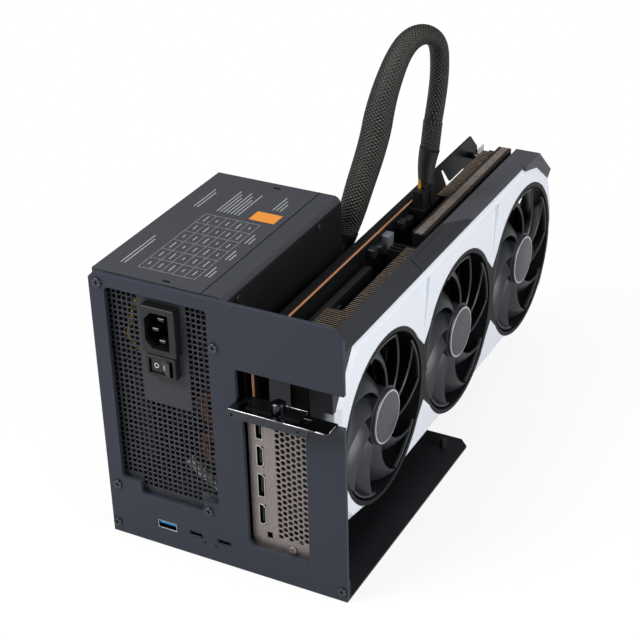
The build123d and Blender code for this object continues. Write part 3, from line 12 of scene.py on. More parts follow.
import bpy
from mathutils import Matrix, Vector


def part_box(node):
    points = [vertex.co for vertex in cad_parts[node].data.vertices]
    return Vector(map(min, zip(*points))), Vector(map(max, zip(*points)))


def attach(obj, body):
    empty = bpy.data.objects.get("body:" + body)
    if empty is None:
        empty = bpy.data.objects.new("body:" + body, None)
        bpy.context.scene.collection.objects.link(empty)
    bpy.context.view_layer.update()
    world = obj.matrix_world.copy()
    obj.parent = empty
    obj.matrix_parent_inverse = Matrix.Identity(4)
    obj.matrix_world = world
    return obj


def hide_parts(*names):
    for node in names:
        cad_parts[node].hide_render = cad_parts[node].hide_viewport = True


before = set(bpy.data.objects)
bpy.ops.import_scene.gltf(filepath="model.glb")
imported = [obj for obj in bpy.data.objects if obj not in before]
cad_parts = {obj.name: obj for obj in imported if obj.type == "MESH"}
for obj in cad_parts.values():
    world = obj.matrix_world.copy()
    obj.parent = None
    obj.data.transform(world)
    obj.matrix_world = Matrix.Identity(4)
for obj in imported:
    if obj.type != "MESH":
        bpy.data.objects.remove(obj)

LOG = logging.getLogger("dock")
MM = 0.001
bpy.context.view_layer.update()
ROOT = "dock"
# The frame's origin, in millimetres to the right of and behind the front plate's lower left corner.
ORIGIN_X, ORIGIN_Y = 80.0, 90.0
# How every finish is drawn: its tint's ends, its least roughness, its edge's samples and its bump's depth.
TINT_ENDS = (0.3, 0.7)
SMOOTHEST = 0.05
EDGE_SAMPLES = 4
BUMP_SHARE = 0.25
GRAIN = {"Detail": 3.0, "Roughness": 0.6}
THREADS = {"Scale": 1.0, "Distortion": 0.6, "Detail": 1.0, "Detail Scale": 4.0}
THREAD_SLANT = math.radians(45)
TIMES = {"operation": "MULTIPLY"}
COLOURS = {"data_type": "RGBA"}
# A mixing node's colour sockets go by number, because its other kinds have sockets with the same names.
MIX_A, MIX_B, MIX_RESULT = 6, 7, 2

Point = tuple[float, float, float]
Span = tuple[float, float]
Piece = bpy.types.Object
Tree = bpy.types.NodeTree
Node = bpy.types.Node
Socket = bpy.types.NodeSocket


def at(x: float, y: float, z: float) -> Vector:
    """Turns millimetres from the front plate's lower left front corner into the frame's metres."""
    return Vector((x - ORIGIN_X, y - ORIGIN_Y, z)) * MM


def linear(colour: str) -> tuple[float, float, float, float]:
    """Turns an sRGB hex value into a linear colour.

    Args:
        colour: Six hex digits after a hash sign.

    Returns:
        Linear red, green and blue, and an alpha of one.
    """
    parts = [int(colour[i : i + 2], 16) / 255 for i in (1, 3, 5)]
    red, green, blue = (p / 12.92 if p <= 0.04045 else ((p + 0.055) / 1.055) ** 2.4 for p in parts)
    return (red, green, blue, 1.0)


class Pattern(Enum):
    """How a finish varies over its surface."""

    GRAIN = "fine random texture of paint or moulding"
    BRUSHED = "lines along one axis"
    BRAID = "crossing threads that follow the piece's own map"


@dataclass(frozen=True)
class Mark:
    """Part of a piece beyond a place along one axis, in the frame's millimetres, or before it."""

    axis: str
    place: float
    before: bool = False


@dataclass(frozen=True)
class Finish:
    """One finish: what it is made of and what that gives the eye.

    The pattern's pitch and the edge's radius are real sizes in millimetres. Where a mark holds, the piece
    shows its second colour.
    """

    name: str
    base: str
    shade: str
    roughness: float
    metallic: float = 0.0
    pattern: Pattern = Pattern.GRAIN
    pitch: float = 0.8
    bump: float = 0.12
    spread: float = 0.08
    stretch: Point = (1.0, 1.0, 1.0)
    specular: float = 0.5
    edge: float = 0.3
    second: str = ""
    marks: tuple[Mark, ...] = ()

    def build(self) -> bpy.types.Material:
        """Makes the material's nodes.

        Returns:
            The new material.
        """
        material = bpy.data.materials.new(self.name)
        material.use_nodes = True
        tree = material.node_tree
        shader = tree.nodes["Principled BSDF"]
        shader.inputs["Metallic"].default_value = self.metallic
        shader.inputs["Specular IOR Level"].default_value = self.specular
        coords = add_node(tree, "TexCoord")
        height = self.heights(tree, coords)
        tint = add_node(tree, "ValToRGB", links={"Fac": height})
        dark, light = tint.color_ramp.elements
        dark.position, light.position = TINT_ENDS
        dark.color, light.color = linear(self.shade), linear(self.base)
        colour = tint.outputs["Color"]
        for mark in self.marks:
            colour = self.marked(tree, coords, colour, mark)
        smooth = max(SMOOTHEST, self.roughness - self.spread)
        ends = {"To Min": self.roughness + self.spread, "To Max": smooth}
        rough = add_node(tree, "MapRange", links={"Value": height}, values=ends)
        samples = {"samples": EDGE_SAMPLES}
        worn = add_node(tree, "Bevel", settings=samples, values={"Radius": self.edge * MM})
        links = {"Height": height, "Normal": worn.outputs["Normal"]}
        depth = {"Strength": self.bump, "Distance": self.pitch * MM * BUMP_SHARE}
        relief = add_node(tree, "Bump", links=links, values=depth)
        tree.links.new(colour, shader.inputs["Base Color"])
        tree.links.new(rough.outputs["Result"], shader.inputs["Roughness"])
        tree.links.new(relief.outputs["Normal"], shader.inputs["Normal"])
        return material

    def heights(self, tree: Tree, coords: Node) -> Socket:
        """Draws random texture, in lines where the finish is brushed, or threads that cross around a cable.

        Args:
            tree: The material's nodes.
            coords: The texture coordinates.

        Returns:
            The output that gives the pattern's height.
        """
        if self.pattern is not Pattern.BRAID:
            links = {"Vector": coords.outputs["Object"]}
            placed = add_node(tree, "Mapping", links=links, values={"Scale": self.stretch})
            links = {"Vector": placed.outputs["Vector"]}
            values = {"Scale": 1.0 / (self.pitch * MM), **GRAIN}
            return add_node(tree, "TexNoise", links=links, values=values).outputs[0]
        sets = []
        for slant in (THREAD_SLANT, -THREAD_SLANT):
            values = {"Scale": self.stretch, "Rotation": (0.0, 0.0, slant)}
            placed = add_node(tree, "Mapping", links={"Vector": coords.outputs["UV"]}, values=values)
            links = {"Vector": placed.outputs["Vector"]}
            sets.append(add_node(tree, "TexWave", links=links, values=THREADS).outputs["Fac"])
        return add_node(tree, "Math", settings=TIMES, links=dict(enumerate(sets))).outputs[0]

    def marked(self, tree: Tree, coords: Node, colour: Socket, mark: Mark) -> Socket:
        """Gives the surface where a mark holds the second colour.

        Args:
            tree: The material's nodes.
            coords: The texture coordinates.
            colour: The colour of the rest.
            mark: Where the second colour shows.

        Returns:
            The mixed colour.
        """
        parts = add_node(tree, "SeparateXYZ", links={"Vector": coords.outputs["Object"]})
        test = {"operation": "LESS_THAN" if mark.before else "GREATER_THAN"}
        place = {1: mark.place * MM}
        holds = add_node(tree, "Math", settings=test, links={0: parts.outputs[mark.axis]}, values=place)
        links = {0: holds.outputs[0], MIX_A: colour}
        mixed = add_node(tree, "Mix", settings=COLOURS, links=links, values={MIX_B: linear(self.second)})
        return mixed.outputs[MIX_RESULT]


def add_node(
    tree: Tree, kind: str, settings: dict | None = None, links: dict | None = None, values: dict | None = None
) -> Node:
    """Adds a node with its settings, values and links.

    Args:
        tree: The material's nodes.
        kind: The node's type, without its prefix.
        settings: Properties of the node itself.
        links: Input name or number to the output that feeds it.
        values: Input name or number to its value.

    Returns:
        The new node.
    """
    node = tree.nodes.new(f"ShaderNode{kind}")
    for key, value in (settings or {}).items():
        setattr(node, key, value)
    for key, value in (values or {}).items():
        node.inputs[key].default_value = value
    for key, output in (links or {}).items():
        tree.links.new(output, node.inputs[key])
    return node


# Powder coat on sheet steel: a soft even sheen with a very fine pebble, brighter along its edges.
PLATE_PAINT = Finish(
    "slate_powder_coat", "#323643", "#2b2f3b", 0.46,
    pitch=0.9, bump=0.08, spread=0.05, specular=0.35, edge=0.4,
)
BASE_PAINT = Finish(
    "black_powder_coat", "#16171c", "#121317", 0.45, pitch=0.9, bump=0.1, spread=0.06, specular=0.35
)
# Textured paint on the supply's case: a coarser pebble; the cover's right side and inside are painted near
# black, as painted shade.
SUPPLY_PAINT = Finish(
    "textured_paint", "#3b3d43", "#33353a", 0.55, pitch=1.1, bump=0.2, spread=0.06, specular=0.4, edge=0.4
)
# Painted shade: beyond a place along X the cover shows a near-black second colour.
SUPPLY_SHADED_SIDE = replace(
    SUPPLY_PAINT, name="textured_paint_painted_shade_side", roughness=0.5, specular=0.3, edge=0.3,
    second="#07080a", marks=(Mark("X", 5.7),),
)
# Satin paint on the card's sheet metal: nearly black, with a weak sheen.
BACK_PAINT = Finish("satin_black_paint", "#232427", "#1c1d20", 0.4, pitch=1.2, bump=0.08, specular=0.4)
BACKPLATE_PAINT = replace(BACK_PAINT, name="backplate_paint", base="#17181b", shade="#111214", specular=0.2)
# Black nickel on pressed steel: a dark mirror whose rolled edges catch the lamps.
GLOSS_BLACK = Finish("black_nickel", "#4e5054", "#424448", 0.2, metallic=1.0, pitch=1.5, bump=0.03, edge=1.0)
# Painted highlight: pale rods laid along the shelf's and bracket's edges, where their rolled edges catch the
# lamps.
EDGE_HIGHLIGHT = Finish("painted_edge_highlight", "#d6d8da", "#c4c6c9", 0.25, metallic=0.8, pitch=0.8, bump=0.02)
# Screws: black oxide has a dull shine, zinc a bright one.
SCREW_BLACK = Finish("black_oxide", "#3b3d42", "#2b2c30", 0.3, metallic=0.7, pitch=0.5, edge=0.4)
SCREW_STEEL = Finish("bright_zinc", "#b9bbbe", "#a2a4a8", 0.3, metallic=1.0, pitch=0.5)
# Black nickel on the front screws: the head shines, and its recess and foot are painted near black as painted
# shade.
SCREW_SHINE = Finish(
    "nickel_head_painted_shade", "#565a5f", "#484c51", 0.24, metallic=0.7, pitch=0.5,
    second="#08090b", marks=(Mark("Y", -90.85),),
)
# Moulded plastics: a fine even grain.
SOCKET_BLACK = Finish("moulded_black", "#131416", "#0d0e10", 0.42, pitch=0.7, bump=0.08, edge=0.35)
ROCKER_BLACK = Finish("polished_black", "#121316", "#0d0e10", 0.25, pitch=0.8, bump=0.04, edge=0.5)
FAN_BLACK = Finish("fan_plastic", "#33353a", "#2a2c30", 0.36, pitch=1.4, bump=0.05, spread=0.05, edge=0.5)
FRAME_BLACK = Finish(
    "frame_plastic", "#17181b", "#111214", 0.45, pitch=1.0, bump=0.06, spread=0.05, edge=0.4, specular=0.25
)
TRIM_BLACK = Finish(
    "trim_plastic", "#2d2e33", "#26272b", 0.46, pitch=0.7, bump=0.12, spread=0.05, specular=0.4, edge=0.4
)
TRIM_REAR = replace(TRIM_BLACK, name="trim_plastic_rear", base="#484a4f", shade="#414348")
SHROUD_WHITE = Finish(
    "white_moulding", "#e9edf5", "#e2e7f0", 0.38, pitch=1.0, bump=0.03, spread=0.04, edge=0.5
)
CONNECTOR_GREY = Finish("moulded_grey", "#70747a", "#63676d", 0.45, pitch=0.8, bump=0.06)
TAB_GREY = Finish("pale_tab", "#c4c2bc", "#b6b4ae", 0.4, pitch=1.0, bump=0.05)
# Two mouldings in one row of sockets: a blue tongue in the first, black ones in the others.
TONGUES = Finish(
    "tongue_mouldings", "#1f8fd0", "#1b82c2", 0.4, pitch=0.6, second="#0e0f11", marks=(Mark("X", -30.0),)
)
# Rubber and heat-shrink: dull and a little uneven.
RUBBER = Finish("dull_rubber", "#141417", "#0e0e10", 0.7, pitch=1.5, bump=0.15)
SHRINK = Finish("heat_shrink", "#1d1e22", "#151619", 0.48, pitch=3.0, bump=0.25)
# Circuit boards: dark mask on the faces, bare tan laminate along the cut edge.
BOARD_MASK = Finish("solder_mask", "#101314", "#0b0d0e", 0.35, pitch=2.0, bump=0.1)
CARD_MASK = replace(
    BOARD_MASK, name="card_solder_mask", second="#b5805c",
    marks=(Mark("Z", 148.9), Mark("Y", -82.9, before=True)),
)
# Polished silicon: flat and mirror-like.
CHIP = Finish("polished_die", "#2b2d33", "#24262b", 0.15, pitch=3.0, bump=0.02)
# Pressed and drawn metals: sheet with lines along the roll, and dark fins whose thin sheets carry a painted
# highlight along their top edges.
FIN_METAL = Finish(
    "fin_sheet", "#211e1b", "#171513", 0.42, metallic=0.5,
    pattern=Pattern.BRUSHED, pitch=1.6, stretch=(1, 0.1, 1), edge=0.1,
)
# Painted highlight: above a height the fin sheets show a pale second colour.
FIN_TOP_HIGHLIGHT = replace(FIN_METAL, name="fin_edges_painted_highlight", second="#75685c", marks=(Mark("Z", 144.6),))
SINK_METAL = Finish(
    "extruded_aluminium", "#a9abae", "#94969a", 0.4, metallic=0.9,
    pattern=Pattern.BRUSHED, pitch=1.2, stretch=(1, 0.1, 1),
)
STRIP_METAL = Finish(
    "cover_strip", "#a39a94", "#4c443f", 0.45, metallic=0.5, pitch=0.9, spread=0.12,
    second="#2f2a26", marks=(Mark("X", 41.0, before=True), Mark("X", 46.2)),
)
# Above a height the bracket shows a near-black second colour: painted reflection of the dark parts over its
# flange, and painted shade where it lies behind the shelf.
BRACKET_STEEL = Finish(
    "nickel_plate_painted_dark_top", "#a39996", "#8b8180", 0.38, metallic=0.65,
    pattern=Pattern.BRUSHED, pitch=0.9, stretch=(1, 1, 0.15), second="#0c0d10", marks=(Mark("Z", 110.0),),
)
# The supply's inner sinks: their metal is painted near black as painted shade, where little of the light
# through the grille falls.
SINK_SHADE = replace(SINK_METAL, name="sink_painted_shade", base="#1c1d20", shade="#141518", metallic=0.3)
# Sockets: a bright plated rim around a mouth painted near black as painted shadow.
SHELL_STEEL = Finish("plated_shell", "#d2d2d0", "#bcbcba", 0.3, metallic=0.6, pitch=0.8, edge=0.15)
VIDEO_SHELL = replace(SHELL_STEEL, name="video_shell", second="#0b0b0d", marks=(Mark("Y", -85.4),))
USB_SHELL = replace(SHELL_STEEL, name="usb_shell", second="#0b0b0d", marks=(Mark("Y", -89.3),))
DARK_SHELL = replace(USB_SHELL, name="dark_shell", base="#4a4b50", shade="#3a3b3f")
# Tinned pins deep in the inlet, darkened as painted shade where little light falls.
PIN_STEEL = replace(SHELL_STEEL, name="tinned_pin_painted_shade", base="#4c4c4f", shade="#3c3c3f", metallic=0.9)
# Turned and drawn copper alloys: warm and bright.
BRASS = Finish("turned_brass", "#b9924e", "#a07c40", 0.35, metallic=1.0, pitch=0.8)
COPPER = Finish("bare_copper", "#c0703f", "#94522c", 0.35, metallic=0.8, pitch=1.2)
# Wraps and insulation: smooth plastic films with a soft shine.
TAPE = Finish("winding_tape", "#d8d2c0", "#c8c0aa", 0.5, pitch=2.0)
CAN_SLEEVE = Finish("can_sleeve", "#20222c", "#181a22", 0.3, pitch=2.0)
YELLOW = Finish("yellow_insulation", "#e0ac20", "#c89416", 0.4, pitch=1.2)
# A white matt sleeve on a lead, shown through the grille: its white is partly a painted highlight, standing
# for a bright reflection inside the supply.
LEAD_WHITE = Finish("pale_sleeve_painted_highlight", "#f0f0ec", "#dcdcd8", 0.5, pitch=1.2, bump=0.1)
# Wires at the plug: one is yellow, the others are black.
PLUG_WIRES = replace(
    YELLOW, name="wire_insulation", second="#131416", marks=(Mark("Y", 130.0), Mark("X", 26.6))
)
# Braided sleeve: black threads that cross, with a warm tint on the raised threads that is partly their own
# colour and partly painted highlight.
BRAID = Finish(
    "braided_sleeve", "#4e483f", "#050506", 0.42,
    pattern=Pattern.BRAID, pitch=2.0, bump=1.0, stretch=(50.0, 7.6, 1),
)
BRAID_END = replace(BRAID, name="braided_sleeve_end", stretch=(3.7, 7.6, 1))
# Print: a thin flat film of ink.
INK_WHITE = Finish("white_print", "#d8dade", "#cfd1d5", 0.5, pitch=1.0, bump=0.02)
INK_GREY = Finish("grey_print", "#9a9ca0", "#8e9094", 0.5, pitch=1.0, bump=0.02)
INK_ORANGE = Finish("orange_print", "#d98a35", "#cc7e2c", 0.5, pitch=1.0, bump=0.02)
# Painted shade: matt dark films and blocks laid where slots, a seam and a gap lie in shadow.
PAINTED_SHADE = Finish("painted_gap_shade", "#09090b", "#060607", 0.9, pitch=1.0, bump=0.02, specular=0.1)
# Hub discs: spun grey metal inside a turned ring, which is given a pale, nearly matt colour as a partly
# painted reflection, bright from every side.
HUB_METAL = Finish(
    "spun_disc", "#6a6c71", "#595b60", 0.35, metallic=0.7,
    pattern=Pattern.BRUSHED, pitch=0.8, stretch=(1, 1, 0.2),
)
HUB_EDGE = Finish("bright_ring", "#cfd1d4", "#bfc1c5", 0.3, metallic=0.3, pitch=0.8)

NODES_BY_FINISH: dict[Finish, tuple[str, ...]] = {
    PLATE_PAINT: ("front_plate",),
    BASE_PAINT: ("base_plate",),
    GLOSS_BLACK: ("card_shelf", "card_thumbscrew"),
    RUBBER: ("base_post", "cable_grommet"),
    SCREW_BLACK: ("frame_screws", "psu_screws", "psu_case_screws", "backplate_screws"),
    SCREW_STEEL: ("board_screws",),
    BRASS: ("board_standoffs",),
    BOARD_MASK: ("dock_board", "psu_board"),
    CARD_MASK: ("card_board",),
    SOCKET_BLACK: (
        "pcie_slot", "board_power_socket", "card_power_socket", "power_plug", "mains_inlet",
        "switch_frame", "video_tongues", "psu_fan_frame", "psu_fan",
    ),
    ROCKER_BLACK: ("rocker",),
    USB_SHELL: ("usb_a_port",),
    DARK_SHELL: ("usb_c_ports",),
    TONGUES: ("usb_tongues",),
    PIN_STEEL: ("inlet_pins",),
    VIDEO_SHELL: ("video_sockets_wide", "video_sockets_narrow"),
    SINK_METAL: ("controller_heatsink",),
    SINK_SHADE: ("psu_heatsinks",),
    BACK_PAINT: ("board_spreader",),
    BACKPLATE_PAINT: ("card_backplate",),
    FIN_METAL: ("fins_front", "fins_rear"),
    STRIP_METAL: ("fin_strip",),
    SUPPLY_PAINT: ("psu_tray",),
    SUPPLY_SHADED_SIDE: ("psu_cover",),
    TAPE: ("psu_transformer",),
    COPPER: ("psu_coils", "cold_plate", "heat_pipes"),
    CAN_SLEEVE: ("psu_capacitors",),
    YELLOW: ("earth_lead",),
    PLUG_WIRES: ("plug_wires",),
    BRACKET_STEEL: ("card_bracket",),
    CHIP: ("gpu_chip",),
    SHROUD_WHITE: ("shroud",),
    FRAME_BLACK: ("fan_frame",),
    TRIM_BLACK: ("trim_front", "trim_middle"),
    TRIM_REAR: ("trim_rear",),
    FAN_BLACK: ("fan_1", "fan_2", "fan_3"),
    SHRINK: ("psu_sleeve", "plug_sleeve"),
    BRAID: ("power_cable",),
}
NODE_FINISHES = {name: finish for finish, names in NODES_BY_FINISH.items() for name in names}


class Wardrobe:
    """Builds each finish once and hands it out."""

    def __init__(self) -> None:
        """Starts with no material built."""
        self.built: dict[str, bpy.types.Material] = {}

    def material(self, finish: Finish) -> bpy.types.Material:
        """Gives a finish's material.

        Args:
            finish: The finish.

        Returns:
            Its material, built at the first call.
        """
        if finish.name not in self.built:
            self.built[finish.name] = finish.build()
        return self.built[finish.name]

    def dress_nodes(self) -> None:
        """Puts each node's finish in all its material slots."""
        for name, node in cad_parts.items():
            for slot in node.material_slots:
                slot.material = self.material(NODE_FINISHES[name])
            LOG.info("dressed %s", name)

    def dress(self, piece: Piece, finish: Finish, slot: str, body: str = ROOT) -> None:
        """Finishes a new piece and lets it ride on a body.

        Args:
            piece: The new piece.
            finish: Its finish.
            slot: The record's material slot that it belongs to; not used.
            body: The body that carries it.
        """
        piece.data.materials.clear()
        piece.data.materials.append(self.material(finish))
        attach(piece, body)
        LOG.info("made %s", piece.name)


def deselect() -> None:
    """Leaves nothing selected, because an operator acts on all that is."""
    bpy.ops.object.select_all(action="DESELECT")


def make_active(piece: Piece) -> None:
    """Selects one piece alone and makes it active.

    Args:
        piece: The piece.
    """
    deselect()
    piece.select_set(True)
    bpy.context.view_layer.objects.active = piece


def settle(piece: Piece) -> None:
    """Moves a piece's place, turn and size into its mesh."""
    make_active(piece)
    bpy.ops.object.transform_apply(location=True, rotation=True, scale=True)


def bar(name: str, low: Vector, high: Vector, bevel: float) -> Piece:
    """Models a bar between two corners with its edges broken.

    Args:
        name: The piece's name.
        low: Lowest corner.
        high: Highest corner.
        bevel: Width of the broken edges in millimetres.

    Returns:
        The bar.
    """
    deselect()
    bpy.ops.mesh.primitive_cube_add(size=1.0, location=(low + high) / 2)
    piece = bpy.context.object
    piece.name = name
    piece.scale = high - low
    settle(piece)
    bpy.ops.object.mode_set(mode="EDIT")
    bpy.ops.mesh.select_all(action="SELECT")
    bpy.ops.mesh.bevel(offset=bevel * MM, segments=1, affect="EDGES")
    bpy.ops.object.mode_set(mode="OBJECT")
    return piece


def repeat(piece: Piece, step: Vector, count: int) -> None:
    """Repeats a piece's mesh along a step.

    Args:
        piece: The piece.
        step: From one copy to the next.
        count: How many there are in the end.
    """
    make_active(piece)
    row = piece.modifiers.new("row", "ARRAY")
    row.use_relative_offset = False
    row.use_constant_offset = True
    row.constant_offset_displace = step
    row.count = count
    bpy.ops.object.modifier_apply(modifier=row.name)


def join(name: str, pieces: Sequence[Piece]) -> Piece:
    """Joins pieces into one.

    Args:
        name: The name of the result.
        pieces: What is joined.

    Returns:
        The joined piece.
    """
    make_active(pieces[0])
    for piece in pieces:
        piece.select_set(True)
    bpy.ops.object.join()
    joined = bpy.context.object
    joined.name = name
    return joined


class Facing(Enum):
    """Which way a round piece looks, as its turn away from looking up."""

    UP = (0.0, 0.0, 0.0)
    FRONT = (math.pi / 2, 0.0, 0.0)
    RIGHT = (0.0, math.pi / 2, 0.0)


@dataclass(frozen=True)
class Rim:
    """How a round piece is cut: its sides, its bevel's share of its size and steps, and its smooth angle."""

    sides: int
    share: float
    steps: int
    smooth: float


PLATE_RIM = Rim(48, 0.3, 2, math.radians(35))
HEAD_RIM = Rim(40, 0.45, 4, math.radians(40))


def disc(name: str, centre: Vector, radius: float, depth: float, turn: Point, rim: Rim = PLATE_RIM) -> Piece:
    """Models a round plate with its rims broken.

    Args:
        name: The piece's name.
        centre: Its middle.
        radius: Its radius in millimetres.
        depth: Its thickness in millimetres.
        turn: Rotation of its axis away from upright.
        rim: How it is cut.

    Returns:
        The plate, active.
    """
    deselect()
    bpy.ops.mesh.primitive_cylinder_add(
        vertices=rim.sides, radius=radius * MM, depth=depth * MM, location=centre, rotation=turn
    )
    piece = bpy.context.object
    piece.name = name
    settle(piece)
    bevel = piece.modifiers.new("rim", "BEVEL")
    bevel.width = min(depth, radius) * MM * rim.share
    bevel.segments = rim.steps
    bevel.limit_method = "ANGLE"
    bpy.ops.object.modifier_apply(modifier=bevel.name)
    bpy.ops.object.shade_smooth_by_angle(angle=rim.smooth)
    return piece


def rod(name: str, start: Vector, end: Vector, radius: float) -> Piece:
    """Models a round rod between two points.

    Args:
        name: The piece's name.
        start: One end.
        end: The other end.
        radius: Its radius in millimetres.

    Returns:
        The rod.
    """
    along = end - start
    turn = along.to_track_quat("Z", "Y").to_euler()
    return disc(name, (start + end) / 2, radius, along.length / MM, tuple(turn))


@dataclass(frozen=True)
class Block:
    """A block between two corners, with the width of its broken edges, its finish and its slot."""

    name: str
    low: Point
    high: Point
    bevel: float
    finish: Finish
    slot: str

    def build(self, wardrobe: Wardrobe) -> None:
        """Models the block and dresses it."""
        wardrobe.dress(bar(self.name, at(*self.low), at(*self.high), self.bevel), self.finish, self.slot)


@dataclass
class GrilleBars:
    """Thin bars that halve the power supply's square holes, so that the grille has its real mesh.

    Each field gives the middle of a block of holes, across and up, and how many holes it has each way.
    """

    wardrobe: Wardrobe
    pitch: float = 6.95
    hole: float = 6.0
    width: float = 0.95
    front: float = 4.52
    back: float = 5.48
    bevel: float = 0.12
    fields: tuple[tuple[float, float, int, int], ...] = (
        (18.3, 135.0, 3, 10),
        (67.0, 135.0, 2, 10),
        (42.65, 72.45, 10, 8),
        (42.65, 41.175, 6, 1),
    )

    def build(self) -> None:
        """Models the bars of every field as one piece."""
        reach = self.hole / 2
        thin = self.width / 2
        rows = []
        for x, z, across, up in self.fields:
            half_x = (across - 1) * self.pitch / 2
            half_z = (up - 1) * self.pitch / 2
            post = bar(
                "grille_post",
                at(x - half_x - thin, self.front, z - half_z - reach),
                at(x - half_x + thin, self.back, z + half_z + reach),
                self.bevel,
            )
            repeat(post, Vector((self.pitch * MM, 0, 0)), across)
            rail = bar(
                "grille_rail",
                at(x - half_x - reach, self.front, z - half_z - thin),
                at(x + half_x + reach, self.back, z - half_z + thin),
                self.bevel,
            )
            repeat(rail, Vector((0, 0, self.pitch * MM)), up)
            rows += [post, rail]
        self.wardrobe.dress(join("grille_bars", rows), SUPPLY_PAINT, "psu_paint")


@dataclass
class CoilLead:
    """White sleeved lead that lies against the supply's lower coil and ends on its board, its white partly
    painted highlight.
    """

    wardrobe: Wardrobe
    radius: float = 3.2
    points: tuple[Point, ...] = ((47.0, 17.2, 56.0), (66.0, 17.2, 42.0), (78.0, 17.2, 38.5))

    def build(self) -> None:
        """Models the lead's two stretches as one piece."""
        spots = [at(*point) for point in self.points]
        rods = [rod("stretch", start, end, self.radius) for start, end in zip(spots, spots[1:])]
        self.wardrobe.dress(join("coil_lead", rods), LEAD_WHITE, "wrap_tape")


@dataclass
class FinSheets:
    """Thin sheets on and between the cooler's solid fins, at the real spacing of pressed fins.

    Each row gives its reach from left to right, the first and last place of the stack's solid fins, and the
    sheets' foot and top.
    """

    wardrobe: Wardrobe
    pitch: float = 4.2
    solid: float = 1.2
    thin: float = 0.5
    sheets: int = 2
    bevel: float = 0.05
    front_rows: tuple[tuple[Span, Span, Span], ...] = (
        ((112.0, 131.0), (12.0, 75.0), (90.0, 145.2)),
        ((121.6, 131.0), (75.0, 165.0), (90.0, 145.2)),
    )
    rear_rows: tuple[tuple[Span, Span, Span], ...] = (
        ((119.1, 127.9), (176.0, 320.0), (90.0, 147.9)),
        ((108.0, 119.0), (239.0, 320.0), (90.0, 145.2)),
    )

    def row(self, xs: Span, ys: Span, zs: Span) -> Piece:
        """Models the thin sheets along a stack.

        Args:
            xs: Reach of the sheets from left to right.
            ys: First and last place of the stack's solid fins.
            zs: Foot and top of the sheets.

        Returns:
            The sheets of that stretch.
        """
        gaps = int((ys[1] - ys[0]) / self.pitch)
        spacing = self.pitch / self.sheets
        start = ys[0] + (self.solid - self.thin) / 2
        sheet = bar("sheet", at(xs[0], start, zs[0]), at(xs[1], start + self.thin, zs[1]), self.bevel)
        repeat(sheet, Vector((0, spacing * MM, 0)), self.sheets)
        repeat(sheet, Vector((0, self.pitch * MM, 0)), gaps)
        return sheet

    def build(self) -> None:
        """Models the sheets that show along the top of both stacks."""
        for name, rows in (("fin_sheets_front", self.front_rows), ("fin_sheets_rear", self.rear_rows)):
            self.wardrobe.dress(join(name, [self.row(*row) for row in rows]), FIN_TOP_HIGHLIGHT, "fin_metal")


@dataclass
class HubDiscs:
    """Metal disc with a bright ring on each fan's hub, turning with the fan."""

    wardrobe: Wardrobe
    fans: tuple[int, ...] = (1, 2, 3)
    radius: float = 15.6
    ring: float = 16.6
    proud: float = 0.25

    def build(self) -> None:
        """Models a ring and a disc on each fan."""
        turn = Facing.RIGHT.value
        for number in self.fans:
            body = f"fan_{number}"
            low, high = (Vector(corner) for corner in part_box(body))
            centre = Vector((high.x, (low.y + high.y) / 2, (low.z + high.z) / 2))
            ring = disc(f"hub_ring_{number}", centre, self.ring, self.proud, turn)
            self.wardrobe.dress(ring, HUB_EDGE, "screw_steel", body)
            plate = disc(f"hub_plate_{number}", centre, self.radius, 2 * self.proud, turn)
            self.wardrobe.dress(plate, HUB_METAL, "fan_black", body)


